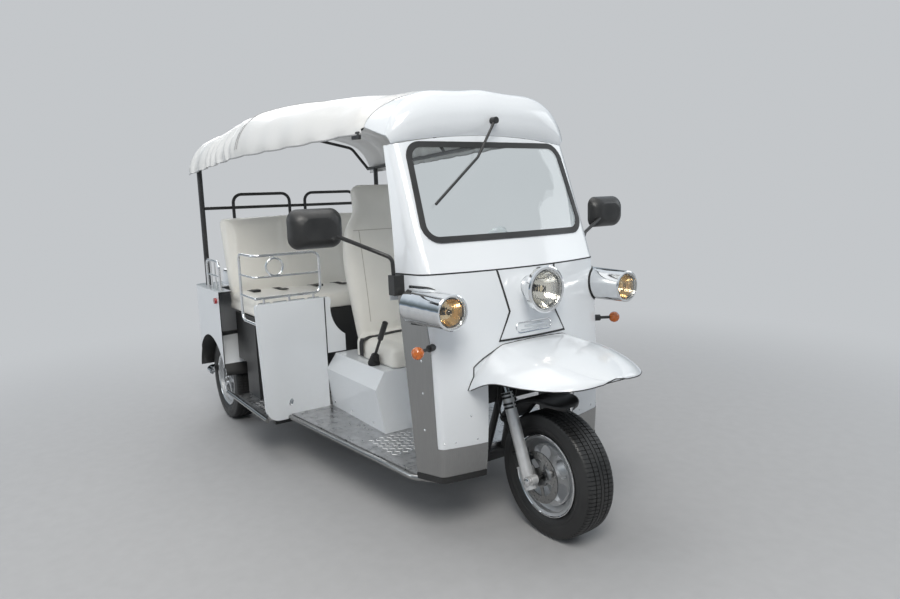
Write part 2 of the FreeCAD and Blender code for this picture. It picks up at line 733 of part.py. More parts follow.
def brake_disc():
    # a floating-type disc on a five-armed carrier bolted to the hub
    inner_face = V(fx(0), DISC_Y - DISC_THICKNESS / 2, TYRE_RADIUS)
    ring = Part.makeCylinder(DISC_RADIUS, DISC_THICKNESS, inner_face, V(0, 1, 0))
    ring = ring.cut(Part.makeCylinder(DISC_RADIUS - 32, 20, V(fx(0), DISC_Y - 10, TYRE_RADIUS), V(0, 1, 0)))
    parts = [ring]
    for i in range(SPOKES):
        angle = 360.0 * i / SPOKES
        arm = box(fx(30), fx(DISC_RADIUS - 24), -9, 9, -DISC_THICKNESS / 2, DISC_THICKNESS / 2)
        arm.rotate(V(fx(0), 0, 0), V(1, 0, 0), 90)
        arm.translate(V(0, DISC_Y, TYRE_RADIUS))
        arm.rotate(V(fx(0), 0, TYRE_RADIUS), V(0, 1, 0), angle)
        parts.append(arm)
    bell = Part.makeCylinder(HUB_RADIUS, 10, inner_face, V(0, 1, 0))
    parts.append(bell)
    hole = Part.makeCylinder(FRONT_AXLE_RADIUS + RUNNING_FIT, 60, V(fx(0), DISC_Y - 30, TYRE_RADIUS),
                             V(0, 1, 0))
    return fused(parts).cut(hole)


# Chassis: two rails kicked up over the rear axle, cross-members, outriggers and the head tube
RAIL_Y = 330.0
RAIL = 50.0
RAIL_FRONT = -405.0
KICK_START = -2120.0
KICK_END = -2270.0
RAIL_REAR = -2875.0
REAR_RAIL_Z = 430.0
NECK_TUBE = 17.0
NECK_LOW_Y = 55.0
NECK_HIGH_Y = 22.0


def neck_struts(grow):
    # the two tubes from the front cross-member up to the head tube
    foot = V(fx(RAIL_FRONT - 25), NECK_LOW_Y, FLOOR_BOTTOM - RAIL / 2)
    top = along(HEAD_LOW + 110, NECK_HIGH_Y)
    return [rod(foot, top, NECK_TUBE + grow), rod(flip(foot), flip(top), NECK_TUBE + grow)]


def chassis_frame():
    low = FLOOR_BOTTOM - RAIL
    high = FLOOR_BOTTOM
    rise = REAR_RAIL_Z
    outline = [
        (fx(RAIL_FRONT), low), (fx(KICK_START) + 12, low), (fx(KICK_END) + 12, rise), (fx(RAIL_REAR), rise),
        (fx(RAIL_REAR), rise + RAIL), (fx(KICK_END) - 12, rise + RAIL), (fx(KICK_START) - 12, high),
        (fx(RAIL_FRONT), high),
    ]
    parts = [side_plate(outline, RAIL_Y - RAIL / 2, RAIL_Y + RAIL / 2),
             side_plate(outline, -RAIL_Y - RAIL / 2, -RAIL_Y + RAIL / 2)]
    for x in (RAIL_FRONT - 25, -1000.0, BULKHEAD_X, KICK_START + 30):
        parts.append(box(fx(x) - 20, fx(x) + 20, -RAIL_Y, RAIL_Y, low + 5, high))
    for x in (-2400.0, RAIL_REAR + 25):
        parts.append(box(fx(x) - 20, fx(x) + 20, -RAIL_Y, RAIL_Y, rise + 5, rise + RAIL))
    for x, half in ((-800.0, 480.0), (-1250.0, 540.0), (-1600.0, 680.0), (KICK_START + 30, 680.0)):
        parts.append(box(fx(x) - 15, fx(x) + 15, -half, half, low + 12, high))
    parts += neck_struts(0)
    parts.append(rod(along(HEAD_LOW), along(HEAD_HIGH), HEAD_TUBE_RADIUS))
    frame = fused(parts)
    return frame.cut(rod(along(HEAD_LOW - 5), along(HEAD_HIGH + 5), STEM_RADIUS + RUNNING_FIT))


# Floors: chequer plates with a polished tube round their outer edges
BOARD_FRONT = -262.0
BOARD_FRONT_HALF = 425.0
BOARD_CORNER_X = -375.0
BOARD_CORNER_HALF = 500.0
BOARD_REAR_HALF = 612.0
WELL_HALF = 272.0
WELL_REAR = -440.0
EDGE_RADIUS = 13.0
PASSENGER_HALF = 742.0
TREAD_RISE = 1.5
TREAD_MARGIN = 8.0
DRIVER_TREAD_HALF = 482.0
PASSENGER_TREAD_HALF = 714.0


def board_outline(inset):
    return [
        (fx(BULKHEAD_X), BOARD_REAR_HALF - inset), (fx(BOARD_CORNER_X), BOARD_CORNER_HALF - inset),
        (fx(BOARD_FRONT) - inset, BOARD_FRONT_HALF - inset), (fx(BOARD_FRONT) - inset, WELL_HALF),
    ]


def floor_plates():
    left = board_outline(EDGE_RADIUS)
    right = [(x, -y) for x, y in reversed(left)]
    well = [(fx(WELL_REAR), WELL_HALF), (fx(WELL_REAR), -WELL_HALF)]
    driver = plan_plate(left + well + right, FLOOR_BOTTOM, FLOOR_TOP)
    half = PASSENGER_HALF - EDGE_RADIUS
    start = fx(BULKHEAD_X) - BULKHEAD_THICKNESS - BODY_GAP
    end = fx(KICK_START) + 15
    tongue = fx(BULKHEAD_X) - 1
    narrow = BULKHEAD_OUTER - BULKHEAD_WIDTH - BODY_GAP
    outline = [(end, -half), (start, -half), (start, -narrow), (tongue, -narrow)]
    mirror_side = [(x, -y) for x, y in reversed(outline)]
    rear = plan_plate(outline + mirror_side, FLOOR_BOTTOM, PASSENGER_FLOOR_TOP)
    # the free middle of each floor is pressed up a little above the border that the walls stand on
    driver = driver.fuse(box(fx(PEDESTAL_FRONT) + TREAD_MARGIN, fx(WELL_REAR) - TREAD_MARGIN,
                             -DRIVER_TREAD_HALF, DRIVER_TREAD_HALF, FLOOR_TOP - 1, FLOOR_TOP + TREAD_RISE))
    rear = rear.fuse(box(fx(BENCH_FRONT) + TREAD_MARGIN, start - TREAD_MARGIN, -PASSENGER_TREAD_HALF,
                         PASSENGER_TREAD_HALF, PASSENGER_FLOOR_TOP - 1, PASSENGER_FLOOR_TOP + TREAD_RISE))
    return Part.makeCompound([driver, rear])


def floor_edges():
    z = FLOOR_TOP - EDGE_RADIUS
    run = [V(x, -y, z) for x, y in board_outline(0)]
    run[0].x += 12
    run[0].y -= 1
    board = tube(run, EDGE_RADIUS, 60)
    trim = plan_plate([(x, -y) for x, y in board_outline(EDGE_RADIUS - BODY_GAP)]
                      + [(fx(BOARD_FRONT) - 200, -WELL_HALF), (fx(BULKHEAD_X), -300)], 0, 500)
    start = V(fx(BULKHEAD_X) - 6, 1 - PASSENGER_HALF, z)
    step = rod(start, V(fx(REAR_BODY_FRONT) + 6, 1 - PASSENGER_HALF, z), EDGE_RADIUS)
    side = box(fx(-2500), fx(-1400), EDGE_RADIUS - BODY_GAP - PASSENGER_HALF, 0, 0, 500)
    return pair(Part.makeCompound([board.cut(trim), step.cut(side)]))


# Black inner arch between the wheel and the driver's feet
ARCH_WALL = 3.0
ARCH_REAR_TOP = -305.0
ARCH_ROOF = 752.0


def front_inner_arch():
    half = WHEEL_MOUTH + 12
    front = [(fx(-175), FLOOR_TOP), (fx(-175), ARCH_ROOF), (fx(ARCH_REAR_TOP), ARCH_ROOF),
             (fx(WELL_REAR) + 12, 420), (fx(WELL_REAR) + 12, FLOOR_TOP)]
    w = ARCH_WALL
    inner = [(fx(-100), FLOOR_TOP - 50), (fx(-100), ARCH_ROOF - w), (fx(ARCH_REAR_TOP) + w, ARCH_ROOF - w),
             (fx(WELL_REAR) + 12 + w, 420), (fx(WELL_REAR) + 12 + w, FLOOR_TOP - 50)]
    shell = side_plate(front, -half, half).cut(side_plate(inner, w - half, half - w))
    hole = rod(along(CROWN_HIGH), along(HEAD_HIGH), HEAD_TUBE_RADIUS + BODY_GAP)
    shell = shell.cut([hole] + neck_struts(BODY_GAP))
    return shell.common(cowl_form(LOWER_SECTIONS, COWL_WALL + BODY_GAP, 60.0))


# Dash: a white tray behind the cowl, open downwards, with a slot for the column
DASH_REAR = -452.0
DASH_BOTTOM = 935.0
DASH_TOP = 1150.0
DASH_WALL = 4.0


def dashboard():
    tray = cowl_form(LOWER_SECTIONS, COWL_WALL + BODY_GAP, 60.0)
    outer = tray.common(box(fx(DASH_REAR), fx(0), -600, 600, DASH_BOTTOM, DASH_TOP))
    w = DASH_WALL
    hollow = box(fx(DASH_REAR) + w, fx(0), -600, 600, DASH_BOTTOM - 10, DASH_TOP - w)
    slot = box(fx(-420), fx(-290), -55, 55, DASH_TOP - 50, DASH_TOP + 10)
    return outer.cut(hollow).cut(slot).cut(pod_hole(2)).cut(mirrored(pod_hole(2)))


# Driver's pedestal, seat and hand brake
PEDESTAL_FRONT = -880.0
PEDESTAL_HALF = 345.0
PEDESTAL_SHOULDER_HALF = 368.0
PEDESTAL_SHOULDER = 500.0
PEDESTAL_TOP_HALF = 305.0
PEDESTAL_WALL = 5.0
PEDESTAL_LEAN = 70.0


def pedestal_form(inset):
    rear = fx(BULKHEAD_X)
    front = fx(PEDESTAL_FRONT)
    half = [(PEDESTAL_HALF - inset, FLOOR_TOP - inset * 2), (PEDESTAL_SHOULDER_HALF - inset, PEDESTAL_SHOULDER),
            (PEDESTAL_TOP_HALF - inset, PEDESTAL_TOP - inset)]
    section = half + [(-y, z) for y, z in reversed(half)]
    face = polygon([V(rear + inset, y, z) for y, z in section])
    block = face.extrude(V(front - rear - 2 * inset, 0, 0))
    above = PEDESTAL_TOP + 5
    below = FLOOR_TOP - 60
    lean = side_plate([(front - inset, below), (front - PEDESTAL_LEAN - inset, above), (front + 50, above),
                       (front + 50, below)], -500, 500)
    return block.cut(lean)


def driver_pedestal():
    return pedestal_form(0).cut(pedestal_form(PEDESTAL_WALL))


# Columns: distance up the back from the cushion, half width, thickness
BACK_SECTIONS = (
    (0, 205, 95),
    (280, 232, 115),
    (620, 236, 100),
    (740, 190, 92),
    (790, 158, 90),
    (900, 150, 84),
    (960, 112, 60),
)
BACK_LEAN = 9.0
DRIVER_BACK_X = -1395.0
CUSHION_THICKNESS = 115.0
CUSHION_LENGTH = 450.0
CUSHION_SETBACK = 30.0
CUSHION_HALF = 245.0


def driver_seat():
    base = PEDESTAL_TOP + BODY_GAP
    front = fx(DRIVER_SEAT_FRONT) - CUSHION_SETBACK
    cushion = box(front - CUSHION_LENGTH, front, -CUSHION_HALF, CUSHION_HALF, base, base + CUSHION_THICKNESS)
    cushion = cushion.makeFillet(34, [e for e in cushion.Edges if e.BoundBox.ZMax > base + 30])
    wires = []
    for height, half, thick in BACK_SECTIONS:
        centre = V(fx(DRIVER_BACK_X), 0, base + 20 + height)
        wires.append(rounded_rectangle(centre, V(0, 1, 0), V(1, 0, 0), 2 * half, thick, thick * 0.42))
    back = Part.makeLoft(wires, True, False)
    back.rotate(V(fx(DRIVER_BACK_X), 0, base + 20), V(0, 1, 0), -BACK_LEAN)
    return fused([cushion, back])


def handbrake():
    base = PEDESTAL_TOP
    x = fx(-1120)
    y = -276.0
    boot = Part.makeCone(29, 15, 70, V(x, y, base), V(0.45, 0, 1))
    boot = boot.cut(box(x - 100, x + 100, y - 80, y + 80, base - 60, base))
    foot = V(x + 20, y, base + 50)
    tip = V(x + 150, y, base + 245)
    run = tip.sub(foot).normalize()
    lever = rod(foot, tip, 8)
    grip = rod(tip.sub(V(run).multiply(105)), tip.add(V(run).multiply(8)), 15)
    return fused([boot, lever, grip])


# Front walls of the passenger space, one each side, with an inboard wing and rubber edges
WING_TOP_HALF = 330.0
WING_LOW_HALF = 240.0
BULKHEAD_CORNER = 70.0
SEAL = 6.0


def bulkheads():
    inner = BULKHEAD_OUTER - BULKHEAD_WIDTH
    bottom = FLOOR_BOTTOM
    high = BULKHEAD_TOP
    x = fx(BULKHEAD_X)
    t = BULKHEAD_THICKNESS
    r = BULKHEAD_CORNER
    k = r * (1 - math.sqrt(0.5))

    def at(y, z):
        return V(x, -y, z)

    edges = [
        Part.LineSegment(at(inner, bottom), at(BULKHEAD_OUTER - 22 - r, bottom)).toShape(),
        Part.Arc(at(BULKHEAD_OUTER - 22 - r, bottom), at(BULKHEAD_OUTER - 22 - k, bottom + k),
                 at(BULKHEAD_OUTER - 20, bottom + r)).toShape(),
        Part.LineSegment(at(BULKHEAD_OUTER - 20, bottom + r), at(BULKHEAD_OUTER, high - 18)).toShape(),
        Part.Arc(at(BULKHEAD_OUTER, high - 18), at(BULKHEAD_OUTER - 6, high - 6),
                 at(BULKHEAD_OUTER - 18, high)).toShape(),
        Part.LineSegment(at(BULKHEAD_OUTER - 18, high), at(inner, high)).toShape(),
        Part.LineSegment(at(inner, high), at(inner, bottom)).toShape(),
    ]
    panel = Part.Face(Part.Wire(edges)).extrude(V(-t, 0, 0))
    start = inner - SEAL
    low = PEDESTAL_TOP + SEAL
    wing_edges = [
        Part.LineSegment(at(start, low), at(start, high)).toShape(),
        Part.LineSegment(at(start, high), at(WING_TOP_HALF + 8, high)).toShape(),
        Part.Arc(at(WING_TOP_HALF + 8, high), at(WING_TOP_HALF - 6, high - 7),
                 at(WING_TOP_HALF - 12, high - 22)).toShape(),
        Part.Arc(at(WING_TOP_HALF - 12, high - 22), at(WING_TOP_HALF - 36, 745),
                 at(WING_LOW_HALF, 690)).toShape(),
        Part.LineSegment(at(WING_LOW_HALF, 690), at(WING_LOW_HALF, low)).toShape(),
        Part.LineSegment(at(WING_LOW_HALF, low), at(start, low)).toShape(),
    ]
    wing = Part.Face(Part.Wire(wing_edges)).extrude(V(-t, 0, 0))
    panel = panel.cut(pedestal_form(0))
    return pair(Part.makeCompound([panel, wing]))


def bulkhead_seals():
    x = fx(BULKHEAD_X)
    inner = BULKHEAD_OUTER - BULKHEAD_WIDTH
    upright = box(x + 2, x - BULKHEAD_THICKNESS, -inner, SEAL - inner, PEDESTAL_TOP, BULKHEAD_TOP - 2)
    foot = box(x + 2, x - BULKHEAD_THICKNESS, -inner, -WING_LOW_HALF, PEDESTAL_TOP, PEDESTAL_TOP + SEAL)
    return pair(upright.fuse(foot).cut(pedestal_form(0)))


# Chrome guards: over the bulkheads, wrapped back along the doorway, and on the rear wings
GUARD_TUBE = 8.0
GUARD_TOP = 1185.0
GUARD_LOW = 952.0
GUARD_MIDDLE = 1068.0
GUARD_X = -1544.0
GUARD_OUTER = 752.0
GUARD_INNER_Y = 372.0
GUARD_RETURN = -1790.0
GUARD_RING = 48.0
GUARD_RAIL = 6.0


def front_guard():
    x = fx(GUARD_X)
    outer, inner = -GUARD_OUTER, -GUARD_INNER_Y
    back = fx(GUARD_RETURN)
    foot = BULKHEAD_TOP - 112
    path = [V(x - BULKHEAD_THICKNESS / 2, outer, foot), V(back, outer, foot), V(back, outer, GUARD_TOP),
            V(x, outer, GUARD_TOP), V(x, inner, GUARD_TOP), V(x, inner, GUARD_LOW), V(x, outer, GUARD_LOW)]
    parts = [tube(path, GUARD_TUBE, 42)]
    low_end = V(x, outer, GUARD_LOW)
    parts.append(rod(low_end, V(back, outer, GUARD_LOW), GUARD_TUBE - 1))
    parts.append(Part.makeSphere(GUARD_TUBE + 1, low_end))
    parts.append(tube([V(back, outer, GUARD_MIDDLE), V(x, outer, GUARD_MIDDLE), V(x, inner, GUARD_MIDDLE)],
                      GUARD_RAIL, 22))
    ring_y = outer + 118
    ring_z = GUARD_MIDDLE + GUARD_RING + GUARD_RAIL / 2
    parts.append(Part.makeTorus(GUARD_RING, GUARD_RAIL, V(x, ring_y, ring_z), V(1, 0, 0)))
    parts.append(rod(V(x, ring_y, ring_z + GUARD_RING), V(x, ring_y, GUARD_TOP), GUARD_RAIL - 1.5))
    for y in (outer + 45, (outer + inner) / 2, inner - 45):
        parts.append(rod(V(x, y, BULKHEAD_TOP), V(x, y, GUARD_LOW), GUARD_RAIL + 0.5))
    return fused(parts)


REAR_GUARD_FRONT = -2310.0
REAR_GUARD_REAR = -2590.0
REAR_GUARD_TOP = 1105.0


def rear_guard():
    front, rear = fx(REAR_GUARD_FRONT), fx(REAR_GUARD_REAR)
    y = -BODY_HALF_WIDTH + 26
    hoop = tube([V(front, y, REAR_BODY_TOP), V(front, y, REAR_GUARD_TOP), V(rear, y, REAR_GUARD_TOP),
                 V(rear, y, REAR_BODY_TOP)], GUARD_TUBE, 42)
    rail = rod(V(front, y, 1010), V(rear, y, 1010), 6)
    posts = [rod(V(x, y, REAR_BODY_TOP), V(x, y, REAR_GUARD_TOP), 5)
             for x in (front + (rear - front) / 3, front + (rear - front) * 2 / 3)]
    return fused([hoop, rail] + posts)


# Bench: black base, cushion, reclined back and two hoops behind it
BENCH_BASE_REAR = -2460.0
BENCH_BASE_WALL = 5.0
BENCH_BASE_HALF = 655.0
WHEELHOUSE_HALF = 500.0
WHEELHOUSE_FRONT = -2262.0
BENCH_SEAT_REAR = -2420.0
BENCH_LEAN = 14.0
BENCH_BACK_THICKNESS = 110.0
BENCH_BASE_TOP = BENCH_SEAT_TOP - BENCH_CUSHION
BATTERY_LENGTH = 260.0
BATTERY_WIDTH = 560.0
BATTERY_HEIGHT = 300.0


def bench_plan(inset, front_inset):
    # a T in plan: full width ahead of the wheelhouses, narrow between them
    front = fx(BENCH_FRONT) - front_inset
    step = fx(WHEELHOUSE_FRONT) + inset
    rear = fx(BENCH_BASE_REAR) + inset
    wide, slim = BENCH_BASE_HALF - inset, WHEELHOUSE_HALF - inset
    return [(front, -wide), (front, wide), (step, wide), (step, slim), (rear, slim), (rear, -slim),
            (step, -slim), (step, -wide)]


def bench_base():
    w = BENCH_BASE_WALL
    body = plan_plate(bench_plan(0, 0), PASSENGER_FLOOR_TOP, BENCH_BASE_TOP)
    hollow = plan_plate(bench_plan(w, w), PASSENGER_FLOOR_TOP - 5, BENCH_BASE_TOP - w)
    shell = body.cut(hollow)
    # behind the kick of the rails the base stands on them, clear of the motor
    return shell.cut(box(fx(BENCH_BASE_REAR) - 20, fx(KICK_START) + 12, -BENCH_BASE_HALF, BENCH_BASE_HALF,
                         PASSENGER_FLOOR_TOP - 5, REAR_RAIL_Z + RAIL + BODY_GAP))


def battery_block():
    front = fx(BENCH_FRONT) - 30
    return box(front - BATTERY_LENGTH, front, -BATTERY_WIDTH / 2, BATTERY_WIDTH / 2,
               PASSENGER_FLOOR_TOP, PASSENGER_FLOOR_TOP + BATTERY_HEIGHT)


def bench_cushion():
    base = BENCH_BASE_TOP + BODY_GAP
    pad = box(fx(BENCH_SEAT_REAR), fx(BENCH_FRONT) + 18, -BENCH_HALF_WIDTH, BENCH_HALF_WIDTH, base,
              BENCH_SEAT_TOP)
    return pad.makeFillet(32, [e for e in pad.Edges if e.BoundBox.ZMin > base + 30 or e.BoundBox.ZLength > 50])


def bench_back():
    # upright block leaned back about its foot, behind the cushion
    foot_x = fx(BENCH_SEAT_REAR) - BODY_GAP - 4
    foot_z = BENCH_BASE_TOP + 30
    height = (BACKREST_TOP - foot_z) / math.cos(math.radians(BENCH_LEAN)) - 12
    pad = box(foot_x - BENCH_BACK_THICKNESS, foot_x, -BENCH_HALF_WIDTH + 35, BENCH_HALF_WIDTH - 35,
              foot_z, foot_z + height)
    pad = pad.makeFillet(36, [e for e in pad.Edges if e.BoundBox.ZMin > foot_z + 5 or e.BoundBox.ZLength > 50])
    pad.rotate(V(foot_x, 0, foot_z + 60), V(0, 1, 0), -BENCH_LEAN)
    keep = box(foot_x - 900, fx(BENCH_SEAT_REAR) - BODY_GAP, -800, 800, foot_z - 100, 2000)
    return pad.common(keep)


# Rear body: white tub with wheel arches, a shelf behind the bench and a tail panel
REAR_BODY_REAR = -2895.0
REAR_BODY_BOTTOM = 330.0
ARCH_RADIUS = 322.0
LID_HALF = 560.0
SHELF_X = -2600.0
TAIL_TOP = 1010.0
TAIL_PAD_FRONT = -2764.0
TAIL_PAD_REAR = -2826.0
TAIL_PAD_HALF = 525.0
TAIL_PAD_RISE = 1.5
DRUM_RADIUS = 98.0
DRUM_ROOM = 40.0


def rear_body():
    front, rear = fx(REAR_BODY_FRONT), fx(REAR_BODY_REAR)
    w = BODY_WALL
    half = BODY_HALF_WIDTH

    def tub(inset):
        block = box(rear + inset, front + (30 if inset else 0), -half + inset, half - inset,
                    REAR_BODY_BOTTOM - (10 if inset else 0), REAR_BODY_TOP - inset)
        upright = [e for e in block.Edges if e.BoundBox.ZLength > 300 and e.BoundBox.XMax < rear + 50]
        block = block.makeFillet(90 - inset, upright)
        return block

    shell = tub(0).cut(tub(w))
    # the well between the side wings in which the bench and its back stand
    well = box(fx(SHELF_X), front + 40, -BENCH_HALF_WIDTH - 12, BENCH_HALF_WIDTH + 12, REAR_BODY_TOP - 20,
               REAR_BODY_TOP + 20)
    shell = shell.cut(well)
    axle = V(X_REAR, -half - 20, TYRE_RADIUS)
    shell = shell.cut(Part.makeCylinder(ARCH_RADIUS, 2 * half + 40, axle, V(0, 1, 0)))
    # wheelhouse: an arch over each tyre, closed on the inside
    house = Part.makeCylinder(ARCH_RADIUS + w, half - WHEELHOUSE_HALF - w, V(X_REAR, WHEELHOUSE_HALF, TYRE_RADIUS),
                              V(0, 1, 0))
    inside = V(X_REAR, WHEELHOUSE_HALF + w, TYRE_RADIUS)
    house = house.cut(Part.makeCylinder(ARCH_RADIUS, half, inside, V(0, 1, 0)))
    house = house.common(box(rear + w, fx(WHEELHOUSE_FRONT) - 0.5, 0, half - w, REAR_BODY_BOTTOM,
                             REAR_BODY_TOP))
    drum_centre = V(X_REAR, -half, TYRE_RADIUS + DRUM_ROOM / 2)
    notch = Part.makeCylinder(DRUM_RADIUS + DRUM_ROOM, 2 * half, drum_centre, V(0, 1, 0))
    rail_slot = box(rear - 10, front, RAIL_Y - 30, RAIL_Y + 30, 0, REAR_RAIL_Z + RAIL + 4)
    # the raised middle of the tail with the lid over the luggage space
    shelf = fx(SHELF_X)
    lid = [(shelf, REAR_BODY_TOP - w), (shelf, REAR_BODY_TOP + 60), (shelf - 80, TAIL_TOP),
           (rear + 60, TAIL_TOP), (rear + 30, REAR_BODY_TOP - w)]
    raised = side_plate(lid, -LID_HALF, LID_HALF)
    ends = [e for e in raised.Edges if e.BoundBox.YLength < 1 and e.BoundBox.ZMax > REAR_BODY_TOP + 40]
    raised = raised.makeFillet(28, ends)
    inner = [(shelf - w, REAR_BODY_TOP - 40), (shelf - w, REAR_BODY_TOP + 60 - w), (shelf - 82, TAIL_TOP - w),
             (rear + 64, TAIL_TOP - w), (rear + 36, REAR_BODY_TOP - 40)]
    hollow = side_plate(inner, w - LID_HALF, LID_HALF - w)
    under_lid = box(shelf - 40, rear + 100, -500, 500, REAR_BODY_TOP - w - 1, REAR_BODY_TOP + 1)
    shell = fused([shell, house, mirrored(house), raised]).cut(hollow.fuse(under_lid))
    shell = shell.cut([rail_slot, mirrored(rail_slot), notch])
    # the raised strip behind the hoops, on which luggage lies
    pad = box(fx(TAIL_PAD_REAR), fx(TAIL_PAD_FRONT), -TAIL_PAD_HALF, TAIL_PAD_HALF, TAIL_TOP - 1,
              TAIL_TOP + TAIL_PAD_RISE)
    return shell.fuse(pad)


HOOP_FORWARD = 20.0
HOOP_TOP = 1530.0
HOOP_LOW = 1440.0
HOOP_TUBE = 11.0
HOOP_FLANGE = 5.0
HOOP_BAR_CLEAR = 2.0
HOOP_CENTRES = (-265.0, 265.0)
HOOP_HALF = 205.0


def headrest_hoops():
    bar_x = fx(POST_X)
    x = bar_x + HOOP_FORWARD
    foot = TAIL_TOP + BODY_GAP
    parts = []
    for centre in HOOP_CENTRES:
        low, high = centre - HOOP_HALF, centre + HOOP_HALF
        parts.append(tube([V(x, low, foot), V(x, low, HOOP_TOP), V(x, high, HOOP_TOP), V(x, high, foot)],
                          HOOP_TUBE, 60))
        for y in (low, high):
            parts.append(rod(V(x, y, foot), V(x, y, foot + HOOP_FLANGE), 2 * HOOP_TUBE))
    end = POST_Y - POST_TUBE - HOOP_BAR_CLEAR
    parts.append(rod(V(bar_x, -end, HOOP_LOW), V(bar_x, end, HOOP_LOW), HOOP_TUBE))
    return fused(parts)


# Canvas stations. Columns: x from the front axle, hem half width, hem height, crown height.
CANVAS_STATIONS = (
    (-600.0, 550.0, 1781.0, 1958.0),
    (-1150.0, 632.0, 1768.0, 2010.0),
    (-1790.0, 722.0, 1755.0, 2060.0),
    (-2320.0, 717.0, 1733.0, 2022.0),
    (-2910.0, 708.0, 1708.0, 1972.0),
)
HEM_DROP = 30.0

# Roof frame: side rails, cross bows, two rear posts; the cap carries its front end
RAIL_INSET = 32.0
REAR_BOW_SETBACK = 30.0
BOW_TUBE = 11.0
POST_TUBE = 17.0
BOW_CROWN = 30.0


def bow(row, setback=0.0):
    # one bent tube: two legs, two shoulders and a shallow crown, its feet in the side rails
    x, half, hem, crown = row
    x = fx(x) + setback
    y = half - RAIL_INSET
    top = crown - CANVAS - 2 * BOW_TUBE
    rise = top - hem
    foot = V(x, -y, hem)
    shoulder = V(x, -y * 0.80, hem + rise * 0.66)
    peak = V(x, 0, top + BOW_CROWN)
    path = [foot, shoulder, peak, flip(shoulder), flip(foot)]
    return tube(path, BOW_TUBE, [90, half * 1.9, 90])


def rail_point(row, setback=0.0):
    x, half, hem, crown = row
    return V(fx(x) + setback, -(half - RAIL_INSET), hem)


def roof_frame():
    corner = rail_point(CANVAS_STATIONS[0])
    middle = rail_point(CANVAS_STATIONS[2])
    reach = (corner.x - fx(CAP_TAIL) + 4 * BODY_GAP) / (corner.x - middle.x)
    front = corner.add(middle.sub(corner).multiply(reach))
    rear = rail_point(CANVAS_STATIONS[4], REAR_BOW_SETBACK)
    parts = [bow(CANVAS_STATIONS[1]), bow(CANVAS_STATIONS[2]), bow(CANVAS_STATIONS[4], REAR_BOW_SETBACK)]
    share = (fx(POST_X) - middle.x) / (rear.x - middle.x)
    head = middle.add(rear.sub(middle).multiply(share))
    for side in (V, flip):
        parts.append(tube([side(front), side(middle), side(rear)], ROOF_TUBE, 1500))
        parts.append(rod(side(V(fx(POST_X), -POST_Y, REAR_BODY_TOP + 2 * BODY_GAP)), side(head), POST_TUBE))
    return fused(parts)


def canvas_wire(row, inset, low):
    x, half, hem, crown = row
    half = half - inset
    rise = crown - hem
    a, b = V(fx(x), -half, hem - HEM_DROP - low), V(fx(x), -half, hem)
    side = V(fx(x), -half * 0.915, hem + rise * 0.46 - inset * 0.3)
    knee = V(fx(x), -half * 0.74, hem + rise * 0.73 - inset * 0.9)
    edges = [
        Part.LineSegment(a, b).toShape(),
        Part.Arc(b, side, knee).toShape(),
        Part.Arc(knee, V(fx(x), 0, crown - inset), flip(knee)).toShape(),
        Part.Arc(flip(knee), flip(side), flip(b)).toShape(),
        Part.LineSegment(flip(b), flip(a)).toShape(),
        Part.LineSegment(flip(a), a).toShape(),
    ]
    return Part.Wire(edges)


def canvas_form(inset, low, extra):
    rows = [list(row) for row in CANVAS_STATIONS]
    rows[0][0] += extra
    rows[-1][0] -= extra
    return Part.makeLoft([canvas_wire(row, inset, low) for row in rows], True, False)


def canopy():
    return canvas_form(0, 0, 0).cut(canvas_form(CANVAS, 40, 1))


# Roof cap: the white moulding over the screen. Columns: lip x, lip y, lip z,
# outer y and z of its arch, y and z of its tail under the canvas.
CAP_WALL = 5.0
CAP_SECTIONS = (
    (-431, 0, 1738, 0, 1944, 0, 1948),
    (-436, 230, 1729, 250, 1930, 270, 1926),
    (-446, 370, 1716, 392, 1888, 418, 1888),
    (-456, 446, 1704, 474, 1800, 508, 1842),
    (-466, 480, 1697, 504, 1735, 540, 1792),
)
CAP_BULGE = 30.0
CAP_RISE = 206.0


def cap_wire(row, side):
    lip_x, lip_y, lip_z, arch_y, arch_z, tail_y, tail_z = row
    height = math.hypot(arch_y - lip_y, arch_z - lip_z)
    uy, uz = (arch_y - lip_y) / height, (arch_z - lip_z) / height
    k = height / CAP_RISE
    w = CAP_WALL

    def at(x, share, inset=0.0):
        s = share * height - inset
        return V(fx(x), side * (lip_y + uy * s), lip_z + uz * s)

    outer = [at(lip_x, 0), at(lip_x + CAP_BULGE * k, 0.42), at(lip_x + 4 * k, 0.82),
             at(lip_x - 22 * k, 0.955), at(lip_x - 60 * k, 1)]
    inner = [at(lip_x - w, 0), at(lip_x + CAP_BULGE * k - w, 0.42), at(lip_x + 4 * k - w, 0.82, 2),
             at(lip_x - 22 * k - w * 0.5, 0.955, 4), at(lip_x - 60 * k - 1, 1, w)]
    tail = V(fx(CAP_TAIL), side * tail_y, tail_z)
    tail_in = V(fx(CAP_TAIL), side * (tail_y - w * uy), tail_z - w * uz)
    edges = [
        Part.Arc(outer[0], outer[1], outer[2]).toShape(),
        Part.Arc(outer[2], outer[3], outer[4]).toShape(),
        Part.LineSegment(outer[4], tail).toShape(),
        Part.LineSegment(tail, tail_in).toShape(),
        Part.LineSegment(tail_in, inner[4]).toShape(),
        Part.Arc(inner[4], inner[3], inner[2]).toShape(),
        Part.Arc(inner[2], inner[1], inner[0]).toShape(),
        Part.LineSegment(inner[0], outer[0]).toShape(),
    ]
    return Part.Wire(edges)


def roof_cap():
    wires = [cap_wire(row, -1) for row in reversed(CAP_SECTIONS)]
    wires += [cap_wire(row, 1) for row in CAP_SECTIONS[1:]]
    return Part.makeLoft(wires, True, False)


# Wiper: pivot on the cap, arm bent down over the glass, rubber blade
WIPER_PIVOT = (-396.0, 10.0, 1800.0)
WIPER_TIP = (-316.0, -363.0, 1441.0)
WIPER_BEND = (-378.0, -92.0, 1638.0)
WIPER_ARM = 6.0


